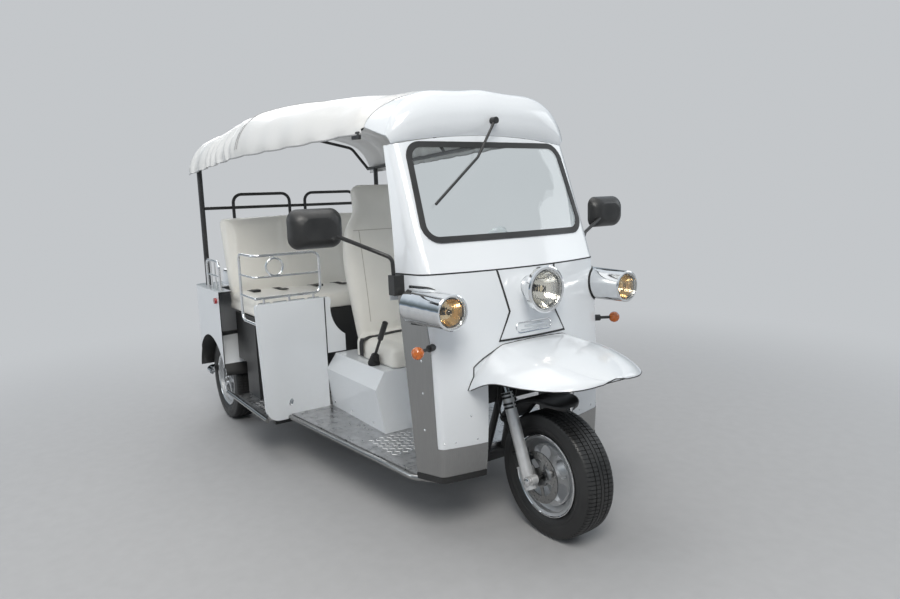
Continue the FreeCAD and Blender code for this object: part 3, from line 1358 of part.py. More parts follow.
def wiper():
    pivot = V(fx(WIPER_PIVOT[0]), WIPER_PIVOT[1], WIPER_PIVOT[2])
    knee = V(fx(WIPER_BEND[0]), WIPER_BEND[1], WIPER_BEND[2])
    tip = V(fx(WIPER_TIP[0]), WIPER_TIP[1], WIPER_TIP[2])
    boss = rod(pivot.add(V(-5.4, 0, 0)), pivot.add(V(26, 0, 0)), 15)
    arm = tube([pivot.add(V(16, 0, 0)), knee, tip], WIPER_ARM, 30)
    return boss.fuse(arm)


# Mirrors: a bracket clamped to the cowl's edge, a bent tube arm and the head
MIRROR_X = -485.0
MIRROR_Y = 830.0
MIRROR_Z = 1362.0
MIRROR_WIDTH = 232.0
MIRROR_HEIGHT = 160.0
MIRROR_DEPTH = 56.0
BRACKET_X = -385.0
BRACKET_Z = 1073.0
BRACKET_HEIGHT = 83.0
ARM_KNEE = 1228.0


def mirror():
    bracket = box(fx(BRACKET_X) - 14, fx(BRACKET_X) + 34, -560, -500, BRACKET_Z, BRACKET_Z + BRACKET_HEIGHT)
    bracket = bracket.cut(cowl_form(LOWER_SECTIONS, -BODY_GAP, 60.0))
    foot = V(fx(BRACKET_X) + 10, -546, BRACKET_Z + BRACKET_HEIGHT - 12)
    head = V(fx(MIRROR_X), -MIRROR_Y, MIRROR_Z)
    joint = head.add(V(26, 50, -22))
    arm = tube([foot, V(foot.x, -550, ARM_KNEE), V(foot.x - 50, -620, ARM_KNEE + 38), joint], 8.5, 34)
    face = rounded_rectangle(head.add(V(-14, 0, 0)), V(0, 1, 0), V(0, 0, 1), MIRROR_WIDTH, MIRROR_HEIGHT, 46)
    middle = rounded_rectangle(head.add(V(12, 0, 0)), V(0, 1, 0), V(0, 0, 1), MIRROR_WIDTH - 16,
                               MIRROR_HEIGHT - 16, 46)
    crown = rounded_rectangle(head.add(V(MIRROR_DEPTH - 14, 0, 0)), V(0, 1, 0), V(0, 0, 1), MIRROR_WIDTH - 92,
                              MIRROR_HEIGHT - 80, 36)
    shell = Part.makeLoft([face, middle, crown], True, False)
    return fused([bracket, arm, shell])


def mirrors():
    return pair(mirror())


# Front turn signals: short black stalk and an amber bulb
SIGNAL_X = -179.0
SIGNAL_Y = 565.0
SIGNAL_Z = 862.0
SIGNAL_RADIUS = 26.0
SIGNAL_ROOT = (-226.0, 445.0)
SIGNAL_CUP = 15.0


def signal_line():
    # from inside the front corner of the cowl to the middle of the bulb
    return V(fx(SIGNAL_ROOT[0]), -SIGNAL_ROOT[1], SIGNAL_Z + 4), V(fx(SIGNAL_X), -SIGNAL_Y, SIGNAL_Z)


def turn_signals():
    root, bulb = signal_line()
    run = bulb.sub(root).normalize()
    stalk = rod(root, bulb, 7)
    flange = rod(root, root.add(V(run).multiply(52)), SIGNAL_CUP)
    stalk = fused([stalk, flange]).cut(cowl_form(LOWER_SECTIONS, -BODY_GAP, 60.0))
    return pair(stalk.fuse(Part.makeSphere(SIGNAL_RADIUS, bulb)))


# Tail: lamps, bumper tube and the blank plate on the tail panel
LAMP_Y = 640.0
LAMP_ROWS = (560.0, 655.0, 750.0)
LAMP_RADIUS = 40.0
LAMP_DEPTH = 18.0
BUMPER_RADIUS = 19.0
BUMPER_Z = 302.0
BUMPER_X = -2891.0
PLATE_Z = 600.0


def rear_lamps():
    face = fx(REAR_BODY_REAR) - BODY_GAP
    parts = []
    for z in LAMP_ROWS:
        for y in (-LAMP_Y + 60, LAMP_Y - 60):
            parts.append(rod(V(face, y, z), V(face - LAMP_DEPTH + 4, y, z), LAMP_RADIUS))
    side = V(fx(REAR_GUARD_FRONT) - 30, -BODY_HALF_WIDTH - BODY_GAP, REAR_BODY_TOP - 60)
    marker = Part.makeCylinder(19, 14, side, V(0, -1, 0))
    return Part.makeCompound(parts + [marker, mirrored(marker)])


def rear_bumper():
    # a bent tube on two brackets that are bolted to the ends of the chassis rails
    x = fx(BUMPER_X) + 1
    half = BODY_HALF_WIDTH - 38
    rail_end = fx(RAIL_REAR) - BODY_GAP
    path = [V(x + 150, -half, BUMPER_Z), V(x, -half, BUMPER_Z), V(x, half, BUMPER_Z), V(x + 150, half, BUMPER_Z)]
    parts = [tube(path, BUMPER_RADIUS, 90)]
    for y in (-RAIL_Y, RAIL_Y):
        parts.append(box(x - 6, rail_end, y - 20, y + 20, BUMPER_Z - 14, BUMPER_Z + 14))
        parts.append(box(rail_end - 8, rail_end, y - 20, y + 20, BUMPER_Z - 14, REAR_RAIL_Z + RAIL))
    return fused(parts)


def number_plate():
    face = fx(REAR_BODY_REAR)
    return box(face - 12, face - 2 - BODY_GAP, -160, 160, PLATE_Z, PLATE_Z + 110).fuse(
        box(face - 2.5, face, -60, 60, PLATE_Z + 30, PLATE_Z + 80))


# Rear axle: beam, motor with its gearbox, brake drums and spindles; leaf springs under the rails
AXLE_BEAM = 32.0
DRUM_INNER = 462.0
DRUM_OUTER = 536.0
MOTOR_RADIUS = 96.0
MOTOR_LENGTH = 290.0
SPRING_WIDTH = 50.0
LEAF = 9.0
EYE_SPAN = 285.0
EYE_RADIUS = 16.0
EYE_Z = 392.0


def rear_axle():
    axis = V(0, 1, 0)
    z = TYRE_RADIUS
    half = REAR_TRACK / 2
    parts = [Part.makeCylinder(AXLE_BEAM, 2 * DRUM_INNER + 2, V(X_REAR, -DRUM_INNER - 1, z), axis)]
    case = Part.makeSphere(MOTOR_RADIUS + 14, V(X_REAR, -60, z))
    parts.append(case.common(box(X_REAR - 130, X_REAR + 130, -120, 0, z - 130, z + 130)))
    parts.append(Part.makeCylinder(MOTOR_RADIUS, MOTOR_LENGTH, V(X_REAR + 40, -62, z + 30), V(1, 0, 0)))
    for side in (-1, 1):
        drum = Part.makeCylinder(DRUM_RADIUS, DRUM_OUTER - DRUM_INNER, V(X_REAR, DRUM_INNER * side, z), V(0, side, 0))
        parts.append(drum)
        parts.append(Part.makeCylinder(REAR_SPINDLE_RADIUS, half + 56 - DRUM_OUTER, V(X_REAR, side * DRUM_OUTER, z),
                                       V(0, side, 0)))
        seat = box(X_REAR - 45, X_REAR + 45, side * RAIL_Y - SPRING_WIDTH / 2, side * RAIL_Y + SPRING_WIDTH / 2,
                   z, z + AXLE_BEAM + 6)
        parts.append(seat)
    return fused(parts)


def leaf_springs():
    springs = []
    seat = TYRE_RADIUS + AXLE_BEAM + 6 + BODY_GAP
    half = SPRING_WIDTH / 2
    for side in (-1, 1):
        y0 = side * RAIL_Y - half
        leaves = []
        for i, share in enumerate((1.0, 0.78, 0.56, 0.34)):
            span = EYE_SPAN * share
            sag = (EYE_Z - seat - 4 * LEAF) * share ** 2
            base = seat + (3 - i) * LEAF
            ends = [(-span, base + sag), (0, base), (span, base + sag)]

            def at(dx, z):
                return V(X_REAR + dx, y0, z)

            low = Part.Arc(at(*ends[0]), at(*ends[1]), at(*ends[2])).toShape()
            high = Part.Arc(at(ends[2][0], ends[2][1] + LEAF), at(0, base + LEAF),
                            at(ends[0][0], ends[0][1] + LEAF)).toShape()
            close = [Part.LineSegment(at(*ends[2]), at(ends[2][0], ends[2][1] + LEAF)).toShape(),
                     Part.LineSegment(at(ends[0][0], ends[0][1] + LEAF), at(*ends[0])).toShape()]
            face = Part.Face(Part.Wire([low, close[0], high, close[1]]))
            leaves.append(face.extrude(V(0, SPRING_WIDTH, 0)))
        for sign in (-1, 1):
            x = X_REAR + sign * EYE_SPAN
            leaves.append(Part.makeCylinder(EYE_RADIUS, SPRING_WIDTH, V(x, y0, EYE_Z), V(0, 1, 0)))
            hanger = box(x - 14, x + 14, y0, y0 + SPRING_WIDTH, EYE_Z, REAR_RAIL_Z)
            leaves.append(hanger)
        springs.append(fused(leaves))
    return Part.makeCompound(springs)


def rear_wheel(side):
    centre = side * REAR_TRACK / 2
    hub_in = side * (DRUM_OUTER + 6 - REAR_TRACK / 2)
    hub_out = side * 52.0
    return rim(X_REAR, centre, side, hub_in, hub_out, REAR_SPINDLE_RADIUS + RUNNING_FIT)


save("lower_cowl", lower_cowl())
save("upper_cowl", upper_cowl())
save("nose_panel", nose_panel())
seam_seals, pod_rings, foot_seals = body_seals()
save("body_seals", Part.makeCompound([seam_seals, pod_rings, foot_seals, bulkhead_seals()]))
save("front_fender", front_fender())
save("steel_strips", steel_strips())
save("windscreen_glass", windscreen())
save("windscreen_gasket", windscreen_gasket())
save("lamp_shells", Part.makeCompound([headlamp_shell(), pair(lamp_pod())]))
head_lens = lens(lamp_axis(HEADLAMP_X, 0, HEADLAMP_Z), HEADLAMP_LENS, 14)
pod_lens = lens(lamp_axis(POD_X, POD_Y, POD_Z), POD_FRONT_RADIUS - 7.3, 8)
save("lamp_lenses", Part.makeCompound([head_lens, pair(pod_lens)]))
save("turn_signals", turn_signals())
save("mirrors", mirrors())
save("wiper", wiper())
save("roof_cap", roof_cap())
save("roof_frame", roof_frame())
save("canopy", canopy())
save("chassis_frame", chassis_frame())
save("floor_plates", floor_plates())
save("floor_edges", floor_edges())
save("front_inner_arch", front_inner_arch())
save("dashboard", dashboard())
save("driver_pedestal", driver_pedestal())
save("driver_seat", driver_seat())
save("handbrake", handbrake())
save("bulkheads", bulkheads())
save("passenger_guards", Part.makeCompound([pair(front_guard()), pair(rear_guard())]))
save("bench_base", bench_base())
save("battery_block", battery_block())
save("bench_cushion", bench_cushion())
save("bench_back", bench_back())
save("headrest_hoops", headrest_hoops())
save("rear_body", rear_body())
save("rear_lamps", rear_lamps())
save("rear_bumper", rear_bumper())
save("number_plate", number_plate())
save("rear_axle", rear_axle())
save("leaf_springs", leaf_springs())
save("front_fork", front_fork())
save("front_mudguard", front_mudguard())
save("handlebar", handlebar().fuse(gauge()))
save("front_tyre", tyre(0, fx(0)))
save("front_rim", rim(fx(0), 0, -1, -78, 78, FRONT_AXLE_RADIUS + RUNNING_FIT))
save("brake_disc", brake_disc())
for side_name, side in (("right", -1), ("left", 1)):
    save("rear_tyre_" + side_name, tyre(side * REAR_TRACK / 2, X_REAR))
    save("rear_rim_" + side_name, rear_wheel(side))
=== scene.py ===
import math
import bpy
from mathutils import Matrix, Vector, noise
from mathutils.bvhtree import BVHTree


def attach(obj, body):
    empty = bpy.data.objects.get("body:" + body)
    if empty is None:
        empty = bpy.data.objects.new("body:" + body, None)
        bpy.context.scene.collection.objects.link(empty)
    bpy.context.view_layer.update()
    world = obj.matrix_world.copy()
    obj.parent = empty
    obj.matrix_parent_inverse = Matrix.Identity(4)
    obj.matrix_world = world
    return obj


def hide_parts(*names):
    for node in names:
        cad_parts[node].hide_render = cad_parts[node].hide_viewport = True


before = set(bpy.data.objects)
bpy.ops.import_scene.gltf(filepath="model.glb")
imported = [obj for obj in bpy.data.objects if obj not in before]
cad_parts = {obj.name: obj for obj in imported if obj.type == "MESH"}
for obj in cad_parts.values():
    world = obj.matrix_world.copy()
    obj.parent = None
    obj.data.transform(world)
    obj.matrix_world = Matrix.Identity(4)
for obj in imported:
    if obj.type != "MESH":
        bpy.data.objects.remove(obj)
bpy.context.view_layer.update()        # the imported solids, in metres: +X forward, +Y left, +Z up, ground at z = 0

scene = bpy.context.scene
scene.view_settings.view_transform = "Standard"


# Camera: a wide-angle view from the front right corner, at about head height.
YAW, PITCH, ROLL = 2.5448715, -0.15435496, -0.03390988
forward = Vector((math.cos(PITCH) * math.cos(YAW), math.cos(PITCH) * math.sin(YAW), math.sin(PITCH)))
level_right = forward.cross(Vector((0, 0, 1))).normalized()
level_up = level_right.cross(forward)
right = math.cos(ROLL) * level_right + math.sin(ROLL) * level_up
up = math.cos(ROLL) * level_up - math.sin(ROLL) * level_right
camera = bpy.data.objects.new("camera", bpy.data.cameras.new("camera"))
scene.collection.objects.link(camera)
camera.matrix_world = Matrix((right, up, -forward)).transposed().to_4x4()
camera.location = (3.33822, -1.917928, 1.479348)
camera.data.sensor_fit = "HORIZONTAL"
camera.data.sensor_width = 36.0
camera.data.lens = 36.0 * 674.266 / 900
camera.data.clip_end = 200
scene.camera = camera


# Studio: a pale floor that fades into a pale backdrop, a broad soft light overhead, a key from
# the front right and weak fills. Reflections see a darker band near the horizon, as outdoors.
STUDIO_PALE = (0.55, 0.57, 0.59, 1)


def nodes_of(owner):
    owner.use_nodes = True
    owner.node_tree.nodes.clear()
    return owner.node_tree.nodes, owner.node_tree.links


def add(nodes, kind, sockets={}, **settings):
    # one shader node with its sockets and its settings
    node = nodes.new("ShaderNode" + kind)
    for setting, value in settings.items():
        setattr(node, setting, value)
    for socket, value in sockets.items():
        node.inputs[socket].default_value = value
    return node


bpy.ops.object.select_all(action="DESELECT")
bpy.ops.mesh.primitive_plane_add(size=80, location=(0, 0, 0))
floor = bpy.context.object
floor.name = "studio_floor"
floor_finish = bpy.data.materials.new("pale_floor")
nodes, links = nodes_of(floor_finish)
out = add(nodes, "OutputMaterial")
painted = add(nodes, "BsdfPrincipled", {"Roughness": 0.75})
where = add(nodes, "TexCoord")
grain = add(nodes, "TexNoise", {"Scale": 14, "Detail": 8})
tone = add(nodes, "ValToRGB")
tone.color_ramp.elements[0].color = (0.43, 0.43, 0.435, 1)
tone.color_ramp.elements[1].color = (0.49, 0.49, 0.495, 1)
far = add(nodes, "Emission", {"Color": STUDIO_PALE})
reach = add(nodes, "VectorMath", operation="LENGTH")
fade = add(nodes, "MapRange", {"From Min": 1.5, "From Max": 5.2}, interpolation_type="SMOOTHSTEP")
mix = add(nodes, "MixShader")
for source, target in ((where.outputs["Object"], grain.inputs["Vector"]), (grain.outputs["Fac"], tone.inputs["Fac"]),
                       (tone.outputs["Color"], painted.inputs["Base Color"]),
                       (where.outputs["Object"], reach.inputs[0]), (reach.outputs["Value"], fade.inputs["Value"]),
                       (fade.outputs["Result"], mix.inputs["Fac"]), (painted.outputs["BSDF"], mix.inputs[1]),
                       (far.outputs["Emission"], mix.inputs[2]), (mix.outputs["Shader"], out.inputs["Surface"])):
    links.new(source, target)
floor.data.materials.append(floor_finish)

world = bpy.data.worlds.new("studio")
scene.world = world
nodes, links = nodes_of(world)
out = add(nodes, "OutputWorld")
light_path = add(nodes, "LightPath")
soft = add(nodes, "Background", {"Color": (0.86, 0.93, 1.0, 1), "Strength": 0.36})
shown = add(nodes, "Background", {"Color": STUDIO_PALE, "Strength": 1.0})
mirrored = add(nodes, "Background")
where = add(nodes, "TexCoord")
split = add(nodes, "SeparateXYZ")
height = add(nodes, "MapRange", {"From Min": -1})
band = add(nodes, "ValToRGB")
band.color_ramp.interpolation = "B_SPLINE"
for at, tone in ((0.0, (0.30, 0.30, 0.30, 1)), (0.47, (0.56, 0.70, 0.92, 1)), (0.52, (0.06, 0.075, 0.075, 1)),
                 (0.60, (0.12, 0.15, 0.16, 1)), (0.70, (0.66, 0.76, 0.86, 1)), (1.0, (1.0, 1.0, 1.0, 1))):
    stops = band.color_ramp.elements
    stop = stops.new(at) if 0 < at < 1 else stops[0 if at == 0 else len(stops) - 1]
    stop.color = tone
either = add(nodes, "Math", operation="MAXIMUM")
glossy_mix = add(nodes, "MixShader")
camera_mix = add(nodes, "MixShader")
for source, target in ((where.outputs["Generated"], split.inputs["Vector"]),
                       (split.outputs["Z"], height.inputs["Value"]),
                       (height.outputs["Result"], band.inputs["Fac"]),
                       (band.outputs["Color"], mirrored.inputs["Color"]),
                       (light_path.outputs["Is Glossy Ray"], glossy_mix.inputs["Fac"]),
                       (soft.outputs["Background"], glossy_mix.inputs[1]),
                       (mirrored.outputs["Background"], glossy_mix.inputs[2]),
                       (light_path.outputs["Is Camera Ray"], either.inputs[0]),
                       (light_path.outputs["Is Transmission Ray"], either.inputs[1]),
                       (either.outputs["Value"], camera_mix.inputs["Fac"]),
                       (glossy_mix.outputs["Shader"], camera_mix.inputs[1]),
                       (shown.outputs["Background"], camera_mix.inputs[2]),
                       (camera_mix.outputs["Shader"], out.inputs["Surface"])):
    links.new(source, target)

for name, at, aim, size, power, tone in (
        ("key_light", (4.2, -2.2, 4.6), (0, 0, 0.8), 2.2, 165, (1.0, 0.97, 0.92)),
        ("top_light", (-0.4, -0.5, 6.0), (-0.2, 0, 0.8), 5.0, 115, (1.0, 0.99, 0.97)),
        ("side_light", (-2.5, -5.5, 2.6), (-0.4, 0, 0.8), 3.0, 50, (0.93, 0.97, 1.0)),
        ("left_light", (2.5, 5.5, 3.2), (0, 0, 0.8), 3.0, 45, (0.95, 0.98, 1.0)),
        ("tail_light", (-5.5, 1.0, 3.4), (-1, 0, 0.8), 3.0, 70, (1.0, 1.0, 1.0))):
    lamp = bpy.data.objects.new(name, bpy.data.lights.new(name, "AREA"))
    scene.collection.objects.link(lamp)
    lamp.data.shape = "SQUARE"
    lamp.data.size = size
    lamp.data.energy = power
    lamp.data.color = tone
    lamp.location = at
    lamp.rotation_euler = (Vector(aim) - Vector(at)).to_track_quat("-Z", "Y").to_euler()


# Cowl, nose panel, fender, roof cap, dash, pedestal, bulkheads and tail: glass fibre mouldings
# in white gelcoat, laid up 4 to 5 mm thick and bolted to the frame. Gloss, a little orange peel,
# a little greyer and speckled towards the ground.
def finish_nodes(name, roughness, metallic=0.0, coat=0.0, sockets={}):
    material = bpy.data.materials.new(name)
    nodes, links = nodes_of(material)
    out = add(nodes, "OutputMaterial")
    shader = add(nodes, "BsdfPrincipled", {"Roughness": roughness, "Metallic": metallic, "Coat Weight": coat,
                                           "Coat Roughness": 0.04, **sockets})
    links.new(shader.outputs["BSDF"], out.inputs["Surface"])
    return material, nodes, links, shader, add(nodes, "TexCoord")


def mottle(nodes, links, place, scale, stretch=(1, 1, 1), detail=4.0):
    mapping = add(nodes, "Mapping", {"Scale": stretch})
    links.new(place.outputs["Object"], mapping.inputs["Vector"])
    grain = add(nodes, "TexNoise", {"Scale": scale, "Detail": detail})
    links.new(mapping.outputs["Vector"], grain.inputs["Vector"])
    return grain.outputs["Fac"]


def tone_between(nodes, links, shader, fac, low, high):
    ramp = add(nodes, "ValToRGB")
    for stop, position, tone in zip(ramp.color_ramp.elements, (0.3, 0.7), (low, high)):
        stop.position = position
        stop.color = (*tone, 1)
    links.new(fac, ramp.inputs["Fac"])
    links.new(ramp.outputs["Color"], shader.inputs["Base Color"])
    return ramp.outputs["Color"]


def rough_between(nodes, links, shader, fac, low, high):
    spread = add(nodes, "MapRange", {"From Min": 0.3, "From Max": 0.7, "To Min": low, "To Max": high})
    links.new(fac, spread.inputs["Value"])
    links.new(spread.outputs["Result"], shader.inputs["Roughness"])


def relief(nodes, links, shader, fac, strength, distance):
    bump = add(nodes, "Bump", {"Strength": strength, "Distance": distance})
    links.new(fac, bump.inputs["Height"])
    links.new(bump.outputs["Normal"], shader.inputs["Normal"])


def gelcoat(name):
    white, low_grey = (0.80, 0.83, 0.86), (0.66, 0.66, 0.64)
    material, nodes, links, shader, place = finish_nodes(name, 0.12, coat=0.5)
    clean = tone_between(nodes, links, shader, mottle(nodes, links, place, 1.7), [c * 0.975 for c in white], white)
    # below 0.62 m the white is mixed in speckles with a darker grey, more of it nearer the ground
    split = add(nodes, "SeparateXYZ")
    low = add(nodes, "MapRange", {"From Min": 0.62, "From Max": 0.24, "To Max": 0.30})
    speckle = add(nodes, "Math", operation="MULTIPLY")
    mix = add(nodes, "Mix", {7: (*low_grey, 1)}, data_type="RGBA")
    for source, target in ((place.outputs["Object"], split.inputs["Vector"]), (split.outputs["Z"], low.inputs["Value"]),
                           (low.outputs["Result"], speckle.inputs[0]),
                           (mottle(nodes, links, place, 38, detail=8), speckle.inputs[1]),
                           (speckle.outputs["Value"], mix.inputs[0]), (clean, mix.inputs[6]),
                           (mix.outputs[2], shader.inputs["Base Color"])):
        links.new(source, target)
    rough_between(nodes, links, shader, mottle(nodes, links, place, 6), 0.10, 0.20)
    relief(nodes, links, shader, mottle(nodes, links, place, 90, detail=2), 0.04, 0.002)
    return material


def select_only(piece):
    bpy.ops.object.select_all(action="DESELECT")
    piece.select_set(True)
    bpy.context.view_layer.objects.active = piece


def edit(piece, chosen="SELECT"):
    # into edit mode with all of the mesh chosen, or with the choice that the faces carry
    select_only(piece)
    bpy.ops.object.mode_set(mode="EDIT")
    if chosen:
        bpy.ops.mesh.select_all(action=chosen)


def leave():
    bpy.ops.object.mode_set(mode="OBJECT")


def applied(piece, kind, **settings):
    # one modifier, put on and applied
    modifier = piece.modifiers.new(kind.lower(), kind)
    for setting, value in settings.items():
        setattr(modifier, setting, value)
    select_only(piece)
    bpy.ops.object.modifier_apply(modifier=modifier.name)


def copy_of(source, name):
    piece = bpy.data.objects.new(name, source.data.copy())
    scene.collection.objects.link(piece)
    piece.data.name = name
    return piece


def smooth_below(degrees):
    bpy.ops.object.shade_smooth_by_angle(angle=math.radians(degrees))


def hand_over(piece, materials, body):
    piece.data.materials.clear()
    for material in materials:
        piece.data.materials.append(material)
    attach(piece, body)
    return piece


MERGED = 0.00004         # triangle corners this close are one


def dress(node, name, materials, body="chassis", angle=28, choose=None):
    # a smooth-shaded copy of a CAD piece, its loose triangles merged
    piece = copy_of(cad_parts[node], name)
    edit(piece)
    bpy.ops.mesh.remove_doubles(threshold=MERGED)
    leave()
    bpy.ops.mesh.customdata_custom_splitnormals_clear()
    smooth_below(angle)
    applied(piece, "WEIGHTED_NORMAL", keep_sharp=True)
    hand_over(piece, materials, body)
    if choose:
        for face in piece.data.polygons:
            face.material_index = choose(face.center, face.normal)
    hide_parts(node)
    return piece


white_gelcoat = gelcoat("white_gelcoat")
for node in ("lower_cowl", "upper_cowl", "nose_panel", "roof_cap"):
    dress(node, node + "_moulding", [white_gelcoat])


# Front fender: the same white moulding, every face turned downward in a dark coat: partly its raw
# laminate sealed with stone guard, partly painted shade under the lip. It shows as a thin line along the lip.
def tints(color, low, high=1.0):
    return [c * low for c in color], [c * high for c in color]


def coated(name, tones, rough, grain, bump, metallic=0.0, coat=0.0, height=None, sockets={}):
    # grain: scale and detail of the mottling; bump: scale, detail, strength and depth of the relief
    material, nodes, links, shader, place = finish_nodes(name, rough[0], metallic, coat, sockets)
    shade = mottle(nodes, links, place, grain[0], detail=grain[1])
    tone_between(nodes, links, shader, shade, *tones)
    if rough[1] > rough[0]:
        rough_between(nodes, links, shader, shade, *rough)
    raised = height(nodes, links, place) if height else mottle(nodes, links, place, bump[0], detail=bump[1])
    relief(nodes, links, shader, raised, *bump[2:])
    return material


# dark coat for the fender's downward faces: stone guard and painted shade under the lip
underside_guard_and_shade = coated("underside_guard_and_shade", ((0.020, 0.020, 0.021), (0.045, 0.045, 0.046)), (0.75, 0.75), (35, 5),
                     (220, 3, 0.5, 0.001))
dress("front_fender", "front_fender_moulding", [white_gelcoat, underside_guard_and_shade],
      choose=lambda at, normal: int(normal.z < -0.25))


# Screws of the cowl: pan heads in cup washers along the foot of the cowl and round its nose.
# Modelled once, then copied and turned to the face that each one holds.
def chain(name, points):
    # a line of vertices, each drawn out of the one before
    bpy.ops.object.select_all(action="DESELECT")
    bpy.ops.mesh.primitive_plane_add(size=0.01, location=points[0])
    piece = bpy.context.object
    piece.name = name
    edit(piece)
    bpy.ops.mesh.merge(type="CENTER")
    for before, after in zip(points, points[1:]):
        bpy.ops.mesh.extrude_vertices_move(TRANSFORM_OT_translate={"value": Vector(after) - Vector(before)})
    leave()
    bpy.ops.object.transform_apply(location=True, rotation=True, scale=True)
    return piece


def spun(name, points, centre, axis, steps=24):
    # a profile turned once round an axis
    piece = chain(name, points)
    edit(piece)
    bpy.ops.mesh.spin(steps=steps, angle=2 * math.pi, center=centre, axis=axis)
    bpy.ops.mesh.select_all(action="SELECT")
    bpy.ops.mesh.remove_doubles(threshold=0.00005)
    bpy.ops.mesh.normals_make_consistent(inside=False)
    leave()
    return piece


def finish(piece, name, materials, body="chassis", angle=30):
    select_only(piece)
    bpy.ops.object.transform_apply(location=True, rotation=True, scale=True)
    piece.name = name
    piece.data.name = name
    smooth_below(angle)
    return hand_over(piece, materials, body)


def joined(pieces):
    bpy.ops.object.select_all(action="DESELECT")
    for piece in pieces:
        piece.select_set(True)
    bpy.context.view_layer.objects.active = pieces[0]
    bpy.ops.object.join()
    return pieces[0]


def copies_of(model, places):
    # one mesh from copies of the model, one at each place, and the model itself taken away
    made = []
    for place in places:
        made.append(copy_of(model, model.name))
        made[-1].matrix_world = place
    bpy.data.objects.remove(model)
    joined(made)
    bpy.ops.object.transform_apply(location=True, rotation=True, scale=True)
    return made[0]


def facing(at, normal):
    # a place at a point, its own z turned along the normal
    turn = Vector(normal).normalized().to_track_quat("Z", "Y").to_matrix().to_4x4()
    return Matrix.Translation(Vector(at)) @ turn


SURFACES = {}


def tree_of(mesh):
    return BVHTree.FromPolygons([v.co for v in mesh.vertices], [tuple(p.vertices) for p in mesh.polygons])


def met(node, start, ray):
    # where a ray meets a CAD piece, and the face's normal there; None twice if it misses
    if node not in SURFACES:
        SURFACES[node] = tree_of(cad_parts[node].data)
    return SURFACES[node].ray_cast(Vector(start), Vector(ray).normalized())[:2]


def on_surface(node, start, ray):
    at, normal = met(node, start, ray)
    if at is None:
        raise ValueError("nothing met on " + node)
    return at, -normal if normal.dot(Vector(ray)) > 0 else normal


def screw_head(name, radius):
    # cup washer and domed head, its foot at the origin
    r = radius
    profile = [(0, 0, r * 0.62), (r * 0.30, 0, r * 0.60), (r * 0.52, 0, r * 0.42), (r * 0.56, 0, r * 0.22),
               (r * 0.70, 0, r * 0.30), (r * 0.92, 0, r * 0.20), (r, 0, -r * 0.2)]
    return spun(name, profile, (0, 0, 0), (0, 0, 1), 12)


def screws_on(name, node, radius, lift, rays):
    # cup washers with domed heads where rays meet a piece
    places = []
    for start, ray in rays:
        at, normal = on_surface(node, start, ray)
        places.append(facing(at + normal * lift, normal))
    return finish(copies_of(screw_head("screw_head", radius), places), name, [chrome])


def bright_metal(name, color, low, high, streak=(1, 1, 1), streak_scale=30, depth=0.02):
    material, nodes, links, shader, place = finish_nodes(name, low, metallic=1.0)
    shade = mottle(nodes, links, place, streak_scale, streak, detail=6)
    tone_between(nodes, links, shader, shade, *tints(color, 0.9))
    rough_between(nodes, links, shader, mottle(nodes, links, place, 5, detail=6), low, high)
    relief(nodes, links, shader, shade, depth, 0.001)
    return material


chrome = bright_metal("chrome_plating", (0.82, 0.83, 0.84), 0.03, 0.09)
cowl_rays = []
for side in (-1, 1):
    cowl_rays += [((2.0, side * 0.30, 0.452), (-1, 0, 0)), ((2.0, side * 0.40, 0.452), (-1, 0, 0)),
                  ((1.095, side * 2.0, 0.452), (0, -side, 0)), ((2.0, side * 0.33, 0.560), (-1, 0, 0))]
screws_on("cowl_screws", "lower_cowl", 0.0042, 0.0004, cowl_rays)


# Badge: a plain bright frame with one bar across it, pressed from strip and pinned on the nose
# panel. It carries no letters or sign.
def pipe(name, points, radius, closed=False, resolution=2):
    # a round bar or hose along a line of points
    chain(name, points)
    bpy.ops.object.convert(target="CURVE")
    line = bpy.context.object.data
    line.bevel_depth = radius
    line.bevel_resolution = resolution
    line.use_fill_caps = not closed
    for spline in line.splines:
        spline.use_cyclic_u = closed
    bpy.ops.object.convert(target="MESH")
    return bpy.context.object


def on_nose(y, z):
    at, normal = on_surface("nose_panel", (2.0, y, z), (-1, 0, 0))
    return at + normal * 0.0024


badge_outline = []
for turn in range(24):
    a = 2 * math.pi * turn / 24
    end = math.copysign(0.078, 1 if math.cos(a) > 0 else -1)
    badge_outline.append(on_nose(end + 0.021 * math.cos(a), 0.905 + 0.021 * math.sin(a)))
badge_frame = pipe("badge_frame", badge_outline, 0.0032, closed=True)
badge_bar = pipe("badge_bar", [on_nose(-0.056 + 0.014 * i, 0.911) for i in range(9)], 0.0030)
badge_foot = pipe("badge_foot", [on_nose(-0.074 + 0.0148 * i, 0.895) for i in range(11)], 0.0022)
finish(joined([badge_frame, badge_bar, badge_foot]), "plain_bar_badge", [chrome])


# Rubber: extruded black section pressed over the moulding edges, in the joints of the cowl,
# round the screen, round the lamp pods and down the bulkheads. The black band round the cowl's foot
# stands for the shadow line there: painted shadow.
def black_rubber(name, tone=0.016, scale=220):
    return coated(name, tints((tone,) * 3, 0.8, 1.5), (0.38, 0.58), (9, 4), (scale, 4, 0.15, 0.0008))


seal_rubber = black_rubber("seal_rubber")
# the same black rubber covers the band round the cowl's foot, a painted shadow line
dress("body_seals", "seal_strips_and_foot_shade_band", [seal_rubber])


